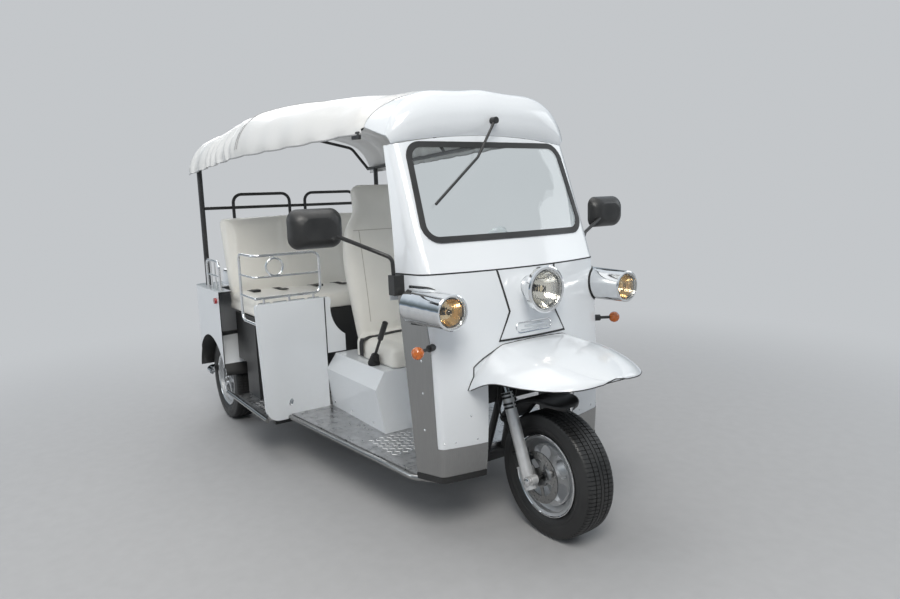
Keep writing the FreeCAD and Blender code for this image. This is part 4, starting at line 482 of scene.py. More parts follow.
# Fender beads: rubber pressed over the fender's lip, and more in the joint where its skirt meets
# the cowl. The lip is found from above, the joint from the front and the skirt's edge from the side.
LIP_MIDDLE, SKIRT_FOOT = 1.30, 0.6705
lip, joint = [], []
for i in range(97):
    turn = math.radians(-114 + 228 * i / 96)
    near, far = 0.02, 0.45
    for step in range(12):
        middle = (near + far) / 2
        above = (LIP_MIDDLE + math.cos(turn) * middle, math.sin(turn) * middle, 1.2)
        if met("front_fender", above, (0, 0, -1))[0] is None:
            far = middle
        else:
            near = middle
    above = (LIP_MIDDLE + math.cos(turn) * near, math.sin(turn) * near, 1.2)
    lip.append(met("front_fender", above, (0, 0, -1))[0] - Vector((0, 0, 0.0022)))
for i in range(61):
    y = 0.312 * math.sin(math.pi * (i / 60 - 0.5))
    for step in range(120):
        start = Vector((2.0, y, 0.880 - step * 0.0015))
        fender, *panels = [met(node, start, (-1, 0, 0))[0] for node in ("front_fender", "lower_cowl", "nose_panel")]
        behind = max([p.x for p in panels if p is not None], default=9.0)
        if fender is not None and fender.x > behind + 0.0005:
            joint.append(Vector((behind + 0.0012, y, start.z + 0.0008)))
            break
for side, end in ((-1, 0), (1, -1)):
    top = joint[end].z
    for step in range(5, 13):
        z = top + (SKIRT_FOOT - top) * step / 12
        for reach in range(110):
            start = Vector((1.120 + reach * 0.0015, side * 1.0, z))
            skirt, cowl = [met(node, start, (0, -side, 0))[0] for node in ("front_fender", "lower_cowl")]
            if skirt is not None and (cowl is None or abs(skirt.y) > abs(cowl.y) + 0.0003):
                point = Vector((start.x - 0.0006, skirt.y + side * 0.0008, z))
                joint.insert(0 if end == 0 else len(joint), point)
                break
beads = [pipe("fender_bead", lip, 0.0024, resolution=1), pipe("fender_bead", joint, 0.0026, resolution=1)]
finish(joined(beads), "fender_beads", [seal_rubber], angle=60)


# Steel strips: polished stainless bent round the cowl's door edges and its foot, and rolled
# tube along the floor's edge. Fine scratches run along the strips.
stainless = bright_metal("polished_stainless", (0.36, 0.36, 0.355), 0.06, 0.15, (40, 40, 1.2), 8, 0.05)
dress("steel_strips", "cowl_steel_strips", [stainless])
dress("floor_edges", "floor_edge_tubes", [stainless])
screws_on("strip_screws", "steel_strips", 0.0050, 0.0003,
          [((1.010, side * 2.0, z), (0, -side, 0)) for side in (-1, 1) for z in (0.50, 0.66, 0.80)])


# Windscreen: laminated safety glass held in a black rubber section, with a wiper hung from a
# spindle through the roof cap above it.
def clear_glass(name, tint, roughness=0.0):
    material, nodes, links, shader, place = finish_nodes(name, roughness,
                                                         sockets={"Transmission Weight": 1.0, "IOR": 1.46})
    smear = mottle(nodes, links, place, 3, detail=6)
    tone_between(nodes, links, shader, smear, *tints(tint, 0.97))
    rough_between(nodes, links, shader, smear, roughness, roughness + 0.02)
    return material


def black_plastic(name, tone=0.02):
    return coated(name, tints((tone,) * 3, 0.8, 1.4), (0.30, 0.48), (12, 4), (420, 3, 0.2, 0.0008))


screen_glass = clear_glass("screen_glass", (0.93, 0.97, 0.97))
grained_plastic = black_plastic("grained_black_plastic")
dress("windscreen_glass", "windscreen_pane", [screen_glass])
dress("windscreen_gasket", "screen_rubber", [seal_rubber])
dress("wiper", "wiper_plastic", [grained_plastic])


# Head lamp and side pods: pressed bowls in chrome, each with a silvered reflector, a bulb in a
# holder and a fluted glass lens behind its rim.
def fluted_glass(name, tint, flutes):
    material = clear_glass(name, tint)
    nodes, links = material.node_tree.nodes, material.node_tree.links
    shader = next(node for node in nodes if node.type == "BSDF_PRINCIPLED")
    place = next(node for node in nodes if node.type == "TEX_COORD")
    wave = add(nodes, "TexWave", {"Scale": flutes, "Distortion": 0.0}, bands_direction="Y")
    links.new(place.outputs["Object"], wave.inputs["Vector"])
    relief(nodes, links, shader, wave.outputs["Fac"], 0.35, 0.0012)
    return material


lens_glass = fluted_glass("fluted_lens_glass", (0.99, 0.985, 0.96), 32)
silvered = bright_metal("silvered_reflector", (0.88, 0.86, 0.80), 0.04, 0.10)
warm_silvered = bright_metal("warm_reflector", (0.88, 0.70, 0.46), 0.06, 0.14)
bulb_glass = clear_glass("bulb_glass", (1.0, 0.90, 0.72), 0.02)
dress("lamp_shells", "lamp_housings", [chrome])
dress("lamp_lenses", "lamp_lens_covers", [lens_glass])


def lamp_inside(name, centre, bowl, bulb, mirror):
    # rows of the bowl and bulb: distance behind the rim plane, radius
    def turned(rows, steps):
        cx, cy, cz = centre
        return spun(name, [(cx - back, cy, cz + r) for back, r in rows], centre, (1, 0, 0), steps)

    finish(turned(bowl, 40), name + "_reflector", [mirror])
    finish(turned(bulb, 20), name + "_bulb", [bulb_glass], angle=50)
    holder = turned(((0.0600, 0.0005), (0.0560, 0.0005), (0.0545, 0.012), (0.0560, 0.015), (0.0595, 0.015)), 20)
    r = bowl[0][1]
    trim = turned(((0.0116, r - 0.001), (0.0105, r - 0.003), (0.0130, r - 0.0045)), 40)
    finish(joined([holder, trim]), name + "_holder", [seal_rubber])


lamp_inside("head_lamp", (1.245, 0, 1.071),
            ((0.0118, 0.0772), (0.0200, 0.0720), (0.0300, 0.0650), (0.0410, 0.0560), (0.0500, 0.0480),
             (0.0560, 0.0400), (0.0590, 0.0270), (0.0605, 0.0140)),
            ((0.0600, 0.0100), (0.0460, 0.0105), (0.0340, 0.0150), (0.0260, 0.0150), (0.0190, 0.0105),
             (0.0160, 0.0040), (0.0155, 0.0005)), silvered)
for side, name in ((-1, "right_pod"), (1, "left_pod")):
    lamp_inside(name, (1.253, side * 0.490, 1.033),
                ((0.0118, 0.0553), (0.0200, 0.0510), (0.0300, 0.0460), (0.0410, 0.0405), (0.0500, 0.0362),
                 (0.0555, 0.0310), (0.0585, 0.0200), (0.0600, 0.0110)),
                ((0.0600, 0.0080), (0.0470, 0.0085), (0.0360, 0.0120), (0.0280, 0.0120), (0.0220, 0.0080),
                 (0.0195, 0.0030), (0.0190, 0.0005)), warm_silvered)


# Mirrors and turn signals: moulded black shells on steel arms, and amber lenses on black
# stalks. The mirror glass is set in the face of each shell towards the driver.
def coloured_lens(name, color):
    return coated(name, tints(color, 0.75), (0.1, 0.1), (60, 4), (180, 4, 0.2, 0.001), coat=0.6,
                  sockets={"Transmission Weight": 0.35})


amber_lens = coloured_lens("amber_lens", (0.85, 0.22, 0.03))
dress("turn_signals", "front_turn_signals", [grained_plastic, amber_lens],
      choose=lambda at, normal: int(abs(at.y) > 0.535))
mirror_glass = bright_metal("mirror_glass", (0.80, 0.82, 0.84), 0.02, 0.04)
dress("mirrors", "mirrors_plastic", [grained_plastic, mirror_glass],
      choose=lambda at, normal: int(normal.x < -0.97 and at.z > 1.12 and abs(at.y) > 0.66))


# Front fork, mudguard and steering: silver sliders under rubber wipers on bright stanchions,
# black crown and caliper, the fork turning in a steel head tube raked 21 degrees.
def cast_alloy(name, color=(0.56, 0.57, 0.58), rough=(0.38, 0.52), metallic=0.65):
    return coated(name, tints(color, 0.9), rough, (40, 4), (240, 2, 0.1, 0.001), metallic)


alloy = cast_alloy("silver_alloy")
fork_silver = cast_alloy("fork_silver", (0.70, 0.70, 0.70), (0.30, 0.42), 0.45)
black_coat = coated("black_powder_coat", tints((0.02,) * 3, 0.8, 1.5), (0.28, 0.45), (4, 6), (300, 2, 0.12, 0.001))
RAKE = math.radians(21)
AXIS_FOOT = Vector((1.257, 0, 0.275))
AXIS_RUN = Vector((-math.sin(RAKE), 0, math.cos(RAKE)))
FRONT_WHEEL = Vector((1.285, 0, 0.275))
LEG_OUT = 0.132          # from the middle plane to the middle of a fork leg
SLIDER_TOP = 0.372       # where the slider ends, from the foot of the steering axis


def fork_finish(at, normal):
    # 0 silver sliders and axle ends, 1 black, 2 chromed stanchions
    along = (at - AXIS_FOOT).dot(AXIS_RUN)
    off = at - AXIS_FOOT - AXIS_RUN * along
    from_leg = abs(off.y) - LEG_OUT
    if abs(from_leg) < 0.045 and abs(off.x) < 0.030 and along < SLIDER_TOP:
        rubber_wiper = math.hypot(from_leg, off.x) > 0.0266 and along > 0.29
        return 1 if rubber_wiper or abs(off.y) <= 0.104 else 0
    if abs(along) < 0.05 and abs(off.y) > 0.10:
        return 0
    return 2 if abs(from_leg) < 0.030 and 0.36 < along < 0.47 else 1


dress("front_fork", "front_fork_legs", [fork_silver, black_coat, chrome], body="steering",
      choose=fork_finish)


# Mudguard: a black channel turned about the front axle, its ends rounded off in plan. Below it,
# the axle's nuts and the hose from the fork's crown to the caliper.
FRONT_EDGE, REAR_EDGE = math.radians(73), math.radians(148)
guard_half = [(0.322, 0.0935), (0.329, 0.0935), (0.3340, 0.0915), (0.3370, 0.0870), (0.3378, 0.0780),
              (0.3380, 0.045)]
guard_row = []
for r, y in guard_half + [(0.3380, 0.0)] + [(r, -y) for r, y in reversed(guard_half)]:
    guard_row.append(FRONT_WHEEL + Vector((r * math.cos(FRONT_EDGE), y, r * math.sin(FRONT_EDGE))))
guard = chain("mudguard", guard_row)
edit(guard)
bpy.ops.mesh.spin(steps=64, angle=REAR_EDGE - FRONT_EDGE, center=FRONT_WHEEL, axis=(0, 1, 0))
bpy.ops.mesh.select_all(action="SELECT")
bpy.ops.mesh.normals_make_consistent(inside=False)
leave()
for vertex in guard.data.vertices:
    rise = vertex.co - FRONT_WHEEL
    rise.y = 0
    angle = math.atan2(rise.z, rise.x)
    for edge, span, least in ((FRONT_EDGE, 0.26, 0.22), (REAR_EDGE, 0.12, 0.60)):
        t = min(1.0, max(0.0, 1 - abs(angle - edge) / span))
        roundness = math.sqrt(1 - t * t)
        vertex.co.y *= least + (1 - least) * roundness
        vertex.co -= rise.normalized() * 0.012 * (1 - roundness) ** 2
face = guard.data.polygons[0]
outward = face.normal.dot(face.center - FRONT_WHEEL) > 0
applied(guard, "SOLIDIFY", thickness=0.003, offset=-1 if outward else 1)
finish(guard, "front_mudguard_plastic", [grained_plastic], body="steering", angle=40)
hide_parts("front_mudguard")
axle_nuts = []
for side in (-1, 1):
    rows = ((0.1725, 0), (0.1725, 0.007), (0.170, 0.0135), (0.1665, 0.0145), (0.1660, 0.022), (0.1645, 0.022))
    profile = [FRONT_WHEEL + Vector((0, side * y, r)) for y, r in rows]
    axle_nuts.append(spun("axle_nut", profile, FRONT_WHEEL, (0, 1, 0), 6))
finish(joined(axle_nuts), "front_axle_nuts", [chrome], body="steering", angle=20)


def bent(points, radius):
    # the same line with its inner corners rounded off
    points = [Vector(p) for p in points]
    line = [points[0]]
    for before, corner, after in zip(points, points[1:], points[2:]):
        start = corner + (before - corner).normalized() * min(radius, (before - corner).length * 0.49)
        end = corner + (after - corner).normalized() * min(radius, (after - corner).length * 0.49)
        for i in range(6):
            t = i / 5
            line.append(start.lerp(corner, t).lerp(corner.lerp(end, t), t))
    line.append(points[-1])
    return line


hose_line = []
for along, back, y in ((0.110, -0.060, -0.100), (0.190, -0.088, -0.118), (0.300, -0.060, -0.158),
                       (0.415, -0.020, -0.150)):
    hose_line.append(AXIS_FOOT + AXIS_RUN * along + Vector((back, y, 0)))
finish(pipe("brake_hose", bent(hose_line, 0.06), 0.0042), "front_brake_hose", [seal_rubber], body="steering")


# Front wheel: a five-spoke cast rim with a machined lip, a drilled steel disc bolted to its
# hub, and a road tyre with four grooves, sipes across its ribs and blocks on its shoulders.
tyre_black = black_rubber("tyre_black", 0.018, 120)
TREAD_PITCHES = 96
TYRE_RADIUS, TREAD_HALF = 0.275, 0.061
GROOVE_DEPTH, SIPE_DEPTH = 0.0062, 0.0042
RIB_EDGES = (0.0070, 0.0110, 0.0320, 0.0370)        # inner and outer side of each groove, from the middle


def tread_radius(y):
    return TYRE_RADIUS - 0.003 * (y / TREAD_HALF) ** 2


half = [(0.0, TYRE_RADIUS)]
for near, far in (RIB_EDGES[:2], RIB_EDGES[2:]):
    half += [(near, tread_radius(near)), (near + 0.0006, tread_radius(near) - GROOVE_DEPTH),
             (far - 0.0006, tread_radius(far) - GROOVE_DEPTH), (far, tread_radius(far))]
half += [(0.0520, tread_radius(0.0520)), (0.0610, 0.2720), (0.0685, 0.2682), (0.0722, 0.2632), (0.0738, 0.2560),
         (0.0742, 0.2480), (0.0752, 0.2400), (0.0772, 0.2300), (0.0775, 0.2200), (0.0762, 0.2130), (0.0748, 0.2120),
         (0.0742, 0.2105), (0.0748, 0.2090), (0.0735, 0.2010), (0.0695, 0.1925), (0.0660, 0.1885), (0.0655, 0.1870),
         (0.0610, 0.1840), (0.0590, 0.1800), (0.0590, 0.1655), (0.0460, 0.1655), (0.0470, 0.1830), (0.0672, 0.2200),
         (0.0550, 0.2440), (0.0250, 0.2600)]
profile = [(0.0, -y, r) for y, r in reversed(half[1:])] + [(0.0, y, r) for y, r in half]
profile.append(profile[0])
tyre_pitch = chain("tyre_pitch", profile)
sipe, pitch = 0.0115, 2 * math.pi / TREAD_PITCHES
edit(tyre_pitch)
bpy.ops.mesh.remove_doubles(threshold=0.00005)
bpy.ops.mesh.spin(steps=1, angle=sipe, center=(0, 0, 0), axis=(0, 1, 0))
bpy.ops.mesh.spin(steps=1, angle=pitch - sipe, center=(0, 0, 0), axis=(0, 1, 0))
bpy.ops.mesh.select_all(action="DESELECT")
leave()
for face in tyre_pitch.data.polygons:
    around = abs(math.atan2(face.center.x, face.center.z))
    out = math.hypot(face.center.x, face.center.z)
    y = abs(face.center.y)
    rib = 0.0125 < y < 0.031 or 0.0372 < y < 0.0735
    face.select = around < sipe and out > 0.2600 and abs(face.normal.z) > 0.15 and rib
edit(tyre_pitch, chosen=None)
bpy.ops.mesh.extrude_region_move(TRANSFORM_OT_translate={"value": (0, 0, -SIPE_DEPTH)})
leave()
for vertex in tyre_pitch.data.vertices:
    # the cuts run aslant, forward on one side and back on the other
    reach = vertex.co.y / TREAD_HALF * 0.030 if vertex.co.z > 0.2 else 0.0
    lean = Matrix.Rotation(reach * min(1.0, max(0.0, (vertex.co.z - 0.2) / 0.06)), 3, "Y")
    vertex.co = lean @ vertex.co
turner = bpy.data.objects.new("turner", None)
scene.collection.objects.link(turner)
turner.rotation_euler = (0, pitch, 0)
bpy.context.view_layer.update()
applied(tyre_pitch, "ARRAY", count=TREAD_PITCHES, use_relative_offset=False, use_object_offset=True,
        offset_object=turner, use_merge_vertices=True, use_merge_vertices_cap=True, merge_threshold=0.00008)
bpy.data.objects.remove(turner)
edit(tyre_pitch)
bpy.ops.mesh.remove_doubles(threshold=0.00006)
bpy.ops.mesh.normals_make_consistent(inside=False)
leave()


def fit_tyre(node, body, centre):
    tyre = copy_of(tyre_pitch, node + "_rubber")
    tyre.location = centre
    finish(tyre, node + "_rubber", [tyre_black], body=body, angle=34)
    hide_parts(node)


def dress_rim(node, body, centre, outward):
    # the cast rim with its machined lip and its wheel nuts
    cx, cy, cz = centre
    dress(node, node + "_alloy", [alloy], body=body)
    lip_rows = ((0.0650, 0.1795), (0.0676, 0.1805), (0.0684, 0.1770), (0.0640, 0.1700), (0.0605, 0.1655))
    lip = spun("lip", [(cx, cy + outward * y, cz + r) for y, r in lip_rows], centre, (0, 1, 0), 72)
    nut_places = []
    for turn in range(5):
        a = 2 * math.pi * (turn + 0.5) / 5
        at = (cx + 0.030 * math.cos(a), cy + outward * 0.0485, cz + 0.030 * math.sin(a))
        nut_places.append(facing(at, (0, outward, 0)))
    nut = spun("nut", [(0, 0, 0.014), (0.0050, 0, 0.0135), (0.0080, 0, 0.0105), (0.0082, 0, 0.002), (0.0105, 0, 0.001),
                       (0.0105, 0, -0.002)], (0, 0, 0), (0, 0, 1), 12)
    parts = [lip, copies_of(nut, nut_places)]
    finish(joined(parts), node + "_bright_lip", [chrome], body=body)


fit_tyre("front_tyre", "front_wheel", FRONT_WHEEL)
dress_rim("front_rim", "front_wheel", FRONT_WHEEL, -1)
disc = dress("brake_disc", "steel_brake_disc", [stainless], body="front_wheel")
holes = []
DISC_HOLES, DISC_PLANE = 40, -0.092
for turn in range(DISC_HOLES):
    a = 2 * math.pi * turn / DISC_HOLES
    reach = (0.090, 0.098, 0.105)[turn % 3]
    at = FRONT_WHEEL + Vector((reach * math.cos(a), DISC_PLANE, reach * math.sin(a)))
    holes.append(Matrix.Translation(at) @ Matrix.Rotation(math.pi / 2, 4, "X"))
bpy.ops.object.select_all(action="DESELECT")
bpy.ops.mesh.primitive_cylinder_add(vertices=10, radius=0.0032, depth=0.02, location=(0, 0, 0))
drills = copies_of(bpy.context.object, holes)
applied(disc, "BOOLEAN", operation="DIFFERENCE", solver="EXACT", object=drills)
bpy.data.objects.remove(drills)
smooth_below(28)


# Floor: aluminium chequer plate worn bright, with rows of short raised bars laid crosswise,
# on the black frame; the passenger floor is a second plate behind the driver's.
def block(name, size, centre=(0, 0, 0), turn=(0, 0, 0)):
    # a box, left in edit mode with all of it chosen
    bpy.ops.object.select_all(action="DESELECT")
    bpy.ops.mesh.primitive_cube_add(size=1, location=centre, rotation=turn)
    piece = bpy.context.object
    piece.name = name
    piece.scale = size
    bpy.ops.object.transform_apply(location=False, rotation=False, scale=True)
    edit(piece)
    return piece


chequer = coated("worn_chequer_plate", ((0.34, 0.34, 0.34), (0.58, 0.58, 0.59)), (0.22, 0.42), (22, 8),
                 (160, 5, 0.15, 0.001), metallic=0.9)
bar_bright = bright_metal("worn_bar_tops", (0.70, 0.70, 0.70), 0.18, 0.32)
dress("floor_plates", "chequer_floor", [chequer])
bar = block("tread_bar", (0.027, 0.006, 0.0012))
bpy.ops.mesh.select_all(action="DESELECT")
leave()
for face in bar.data.polygons:
    face.select = face.normal.z > 0.5
edit(bar, chosen=None)
bpy.ops.transform.resize(value=(0.80, 0.45, 1))
leave()
rows = []
for i in range(-34, 35):
    for j in range(-24, 25):
        x, y = -0.13 + i * 0.0235, j * 0.0300
        under_seat = -0.26 < x < 0.42 and abs(y) < 0.375
        behind_wall = -0.300 < x < -0.240
        if under_seat or behind_wall:
            continue
        panel = 0.2764 if x > -0.25 else 0.2814
        feet = [met("floor_plates", (x + dx, y + dy, 0.40), (0, 0, -1))[0]
                for dx, dy in ((0, 0), (-0.013, -0.013), (-0.013, 0.013), (0.013, -0.013), (0.013, 0.013))]
        if any(foot is None or foot.z < panel for foot in feet):
            continue
        turn = math.pi / 4 if (i + j) % 2 else -math.pi / 4
        rows.append(Matrix.Translation((x, y, feet[0].z + 0.0003)) @ Matrix.Rotation(turn, 4, "Z"))
finish(copies_of(bar, rows), "chequer_bars", [bar_bright], angle=20)
for node in ("chassis_frame", "leaf_springs", "battery_block"):
    dress(node, node + "_black", [black_coat])
dress("front_inner_arch", "front_inner_arch_plastic", [grained_plastic])


# Dash and controls: a white moulding behind the screen, the handlebar with black grips and
# levers on the fork's column, and a round instrument in a white shell.
dress("dashboard", "dashboard_moulding", [white_gelcoat])
COLUMN_TOP = AXIS_FOOT + AXIS_RUN * 0.985
DIAL_TILT = math.radians(50)
DIAL_LEAN = Vector((-math.sin(DIAL_TILT), 0, math.cos(DIAL_TILT)))
dial_middle = COLUMN_TOP + Vector((0, 0, 0.084))


def handlebar_finish(at, normal):
    # 0 black paint, 1 white shell, 2 dial glass
    dial = at - dial_middle
    if dial.length < 0.075 and at.z > COLUMN_TOP.z + 0.036 and abs(at.y) < 0.060:
        return 2 if normal.dot(DIAL_LEAN) > 0.97 and dial.length < 0.053 else 1
    return 0


dial_black = black_plastic("dial_face", 0.012)
dress("handlebar", "handlebar_assembly", [black_coat, white_gelcoat, dial_black], body="steering",
      choose=handlebar_finish)
dial_centre = dial_middle + DIAL_LEAN * 0.0066
dial_up = Vector((math.cos(DIAL_TILT), 0, math.sin(DIAL_TILT)))
dial_side = dial_up.cross(DIAL_LEAN)
mark = block("dial_mark", (0.0018, 0.0070, 0.0008))
bpy.ops.mesh.bevel(offset=0.0002, segments=1)
leave()
marks = []
for turn in range(13):
    a = math.radians(-120 + 20 * turn)
    out = dial_up * math.cos(a) + dial_side * math.sin(a)
    basis = Matrix((DIAL_LEAN.cross(out), out, DIAL_LEAN)).transposed().to_4x4()
    marks.append(Matrix.Translation(dial_centre + out * 0.040) @ basis)
a = math.radians(-118)
out = dial_up * math.cos(a) + dial_side * math.sin(a)
needle = Matrix((DIAL_LEAN.cross(out) * 1.2, out * 4.4, DIAL_LEAN)).transposed().to_4x4()
marks.append(Matrix.Translation(dial_centre + out * 0.0165 + DIAL_LEAN * 0.0012) @ needle)
finish(copies_of(mark, marks), "dial_marks", [white_gelcoat], body="steering")


# Driver's pedestal and hand brake: a white moulded box on the floor, screwed down along its
# foot, with a black rubber boot and a lever beside the cushion.
dress("driver_pedestal", "driver_pedestal_moulding", [white_gelcoat])
screws_on("pedestal_screws", "driver_pedestal", 0.0075, 0.0004,
          [((x, side * 2.0, 0.305), (0, -side, 0)) for side in (-1, 1) for x in (0.27, 0.02, -0.20)])
dress("handbrake", "handbrake_plastic", [grained_plastic])
boot_foot, boot_lean = Vector((0.165, -0.276, 0.585)), Vector((0.41, 0, 0.912))
rings = []
for r, rise in ((0.0300, 0.010), (0.0270, 0.023), (0.0240, 0.036), (0.0215, 0.049), (0.0190, 0.061)):
    bpy.ops.object.select_all(action="DESELECT")
    bpy.ops.mesh.primitive_torus_add(major_radius=r, minor_radius=0.0032, major_segments=28, minor_segments=8,
                                     location=boot_foot + boot_lean * rise,
                                     rotation=boot_lean.to_track_quat("Z", "Y").to_euler())
    rings.append(bpy.context.object)
finish(joined(rings), "handbrake_boot_folds", [seal_rubber])


# Seats: moulded foam under cream-white vinyl, the cover sewn from panels, so the foam stands
# proud between seams. Each pad is swelled from inside against its pinned seams and base.
def vinyl_cells(nodes, links, place):
    cells = add(nodes, "TexVoronoi", {"Scale": 420}, feature="DISTANCE_TO_EDGE")
    links.new(place.outputs["Object"], cells.inputs["Vector"])
    return cells.outputs["Distance"]


def cream_vinyl(name, color=(0.86, 0.84, 0.78)):
    return coated(name, tints(color, 0.93), (0.34, 0.48), (5, 5), (0, 0, 0.25, 0.0012), height=vinyl_cells,
                  sockets={"Sheen Weight": 0.15})


vinyl = cream_vinyl("cream_vinyl")
# the piping is darker than the cover: painted shade along the seams
piping_vinyl_seam_shade = cream_vinyl("piping_vinyl_seam_shade", (0.50, 0.47, 0.41))


def swelled(node, name, shrink, voxel, held, cap, seams, pressure=4.0):
    # a copy of the CAD pad, drawn in a little, remeshed, then blown out like a stuffed cover
    pad = copy_of(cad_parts[node], name)
    edit(pad)
    bpy.ops.mesh.remove_doubles(threshold=MERGED)
    bpy.ops.mesh.normals_make_consistent(inside=False)
    bpy.ops.transform.shrink_fatten(value=-shrink)
    leave()
    applied(pad, "REMESH", mode="VOXEL", voxel_size=voxel)
    pinned = pad.vertex_groups.new(name="pinned")
    start = [vertex.co.copy() for vertex in pad.data.vertices]
    for index, place in enumerate(start):
        if held(place) or any(abs(place.dot(Vector(normal)) - offset) < voxel * 0.62 and region(place)
                              for normal, offset, region in seams):
            pinned.add([index], 1.0, "REPLACE")
    cloth = pad.modifiers.new("cloth", "CLOTH")
    for setting, value in (("quality", 4), ("mass", 0.4), ("tension_stiffness", 18), ("compression_stiffness", 18),
                           ("bending_stiffness", 4), ("use_pressure", True), ("uniform_pressure_force", pressure),
                           ("vertex_group_mass", "pinned")):
        setattr(cloth.settings, setting, value)
    cloth.settings.effector_weights.gravity = 0
    cloth.collision_settings.use_collision = False
    for step in range(1, 15):
        scene.frame_set(step)
    bpy.ops.object.modifier_apply(modifier=cloth.name)
    scene.frame_set(1)
    for vertex, before in zip(pad.data.vertices, start):
        moved = vertex.co - before
        if moved.length > cap:
            vertex.co = before + moved.normalized() * cap
    applied(pad, "SMOOTH", factor=0.5, iterations=2)
    bpy.ops.object.shade_smooth()
    hand_over(pad, [vinyl], "chassis")
    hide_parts(node)
    return pad


# Driver's seat: a wide cushion and a tall one-piece back with a narrow head, sewn across under
# the head and down both sides. The pad stands on the pedestal.
BACK_FOOT = Vector((-0.110, 0, 0.605))
BACK_LEAN = math.radians(9)
HEAD_SEAM, SIDE_SEAM = 0.690, 0.150      # up the back to the seam under the head; from the middle to the side seams
back_up = Vector((-math.sin(BACK_LEAN), 0, math.cos(BACK_LEAN)))
back_out = Vector((math.cos(BACK_LEAN), 0, math.sin(BACK_LEAN)))


def up_the_back(place):
    return (place - BACK_FOOT).dot(back_up)


def before_back(place):
    return (place - BACK_FOOT).dot(back_out)


def held_driver(place):
    height = up_the_back(place)
    return (place.z < 0.600 or height > 0.14 and before_back(place) < -0.005
            or place.x < -0.125 and height < 0.16)


def on_back_face(place):
    return 0.10 < up_the_back(place) < HEAD_SEAM and before_back(place) > 0


def on_cushion_top(place):
    return place.x > -0.03 and place.z > 0.66


seat_seams = [(back_up, back_up.dot(BACK_FOOT) + HEAD_SEAM, lambda p: before_back(p) > 0)]
for region in (on_back_face, on_cushion_top):
    seat_seams += [((0, 1, 0), y, region) for y in (-SIDE_SEAM, SIDE_SEAM)]
driver_seat = swelled("driver_seat", "driver_seat_cover", 0.0035, 0.0100, held_driver, pressure=5.0, cap=0.011,
                      seams=seat_seams)


# Piping along the driver's seat: a sewn cord down each side of the back and round its head, coloured darker than the
# cover as painted shade in the seams.
def on_seat(height, y):
    start = BACK_FOOT + back_up * height + back_out * 0.6 + Vector((0, y, 0))
    return seat_tree.ray_cast(start, -back_out)[0] + back_out * 0.0004


seat_tree = tree_of(driver_seat.data)
cord_lines = [[on_seat(0.16 + 0.0265 * i, y) for i in range(21)]
              for y in (-SIDE_SEAM, SIDE_SEAM)]
cord_lines.append([on_seat(HEAD_SEAM, -0.185 + 0.0185 * i) for i in range(21)])
cords = [pipe("cord", line, 0.0020, resolution=1) for line in cord_lines]
finish(joined(cords), "driver_seat_piping", [piping_vinyl_seam_shade], angle=60)


# Bench: one cushion and one back for three, foam under the same sewn vinyl, on a black base.
# Two seams across each of them divide the three places.
dress("bench_base", "bench_base_black", [black_coat])
BENCH_LEAN = math.radians(14)
bench_foot = Vector((-1.140, 0, 0.875))
bench_out = Vector((math.cos(BENCH_LEAN), 0, math.sin(BENCH_LEAN)))


def before_bench(place):
    return (place - bench_foot).dot(bench_out)


cushion_seams = [((0, 1, 0), y, lambda p: p.z > 0.80) for y in (-0.217, 0.217)]
bench_cushion = swelled("bench_cushion", "bench_cushion_cover", 0.006, 0.0115, lambda p: p.z < 0.800, cap=0.013,
                        seams=cushion_seams)
back_seams = [((0, 1, 0), y, lambda p: before_bench(p) > -0.075) for y in (-0.205, 0.205)]
swelled("bench_back", "bench_back_cover", 0.006, 0.0115, lambda p: before_bench(p) < -0.070 or p.z < 0.90, cap=0.013,
        seams=back_seams)


# Belts: black woven webbing with stamped buckles, one lap belt a place across the bench and
# one at the driver's cushion, each end bolted behind the cushion.
def webbing(name):
    material, nodes, links, shader, place = finish_nodes(name, 0.75)
    wave = add(nodes, "TexWave", {"Scale": 260, "Distortion": 1.5})
    links.new(place.outputs["Object"], wave.inputs["Vector"])
    tone_between(nodes, links, shader, wave.outputs["Fac"], (0.010, 0.010, 0.011), (0.030, 0.030, 0.032))
    relief(nodes, links, shader, wave.outputs["Fac"], 0.3, 0.0006)
    return material


belt_black = webbing("belt_webbing")


def strap(name, points, width):
    # a band along a line: the line is drawn out sideways, then given its thickness
    piece = chain(name, points)
    edit(piece)
    bpy.ops.mesh.extrude_region_move(TRANSFORM_OT_translate={"value": width})
    leave()
    applied(piece, "SOLIDIFY", thickness=0.0016, offset=0)
    return piece


def buckle(name, centre, size, turn=(0, 0, 0)):
    # a box with rounded edges
    piece = block(name, size, centre, turn)
    bpy.ops.mesh.bevel(offset=min(size[1:]) * 0.28, segments=3)
    leave()
    return piece


def lying_on(pad, points):
    # the points brought down on to a pad's own mesh
    tree = tree_of(pad.data)
    return [tree.ray_cast(Vector((x, y, 1.2)), Vector((0, 0, -1)))[0] + Vector((0, 0, 0.0022)) for x, y in points]


bench_belts = []
bench_buckles = []
BELT_ROOT = -1.110
for middle in (-0.434, 0.0, 0.434):
    for side, reach, size in ((-1, -0.985, (0.060, 0.050, 0.015)), (1, -0.930, (0.060, 0.042, 0.004))):
        y = middle + side * 0.085
        edge = y - 0.0225
        laid = lying_on(bench_cushion, [(BELT_ROOT + (reach - BELT_ROOT) * i / 8, edge) for i in range(9)])
        bench_belts.append(strap("belt", [(-1.134, edge, laid[0].z - 0.004)] + laid, (0, 0.045, 0)))
        bench_buckles.append(buckle("buckle", (reach + 0.026, y, laid[-1].z + 0.0065), size))
finish(joined(bench_belts), "bench_lap_belts", [belt_black], angle=40)
finish(joined(bench_buckles), "bench_belt_buckles", [grained_plastic], angle=40)
BELT_EDGE = -0.030
across = lying_on(driver_seat, [(BELT_EDGE, -0.225 + 0.030 * i) for i in range(12)])
belt_rise = [(BELT_EDGE, y, z) for y, z in ((-0.2560, 0.600), (-0.2575, 0.640), (-0.2560, 0.672), (-0.2480, 0.695))]
driver_belt = strap("driver_belt", belt_rise + across, (0.046, 0, 0))
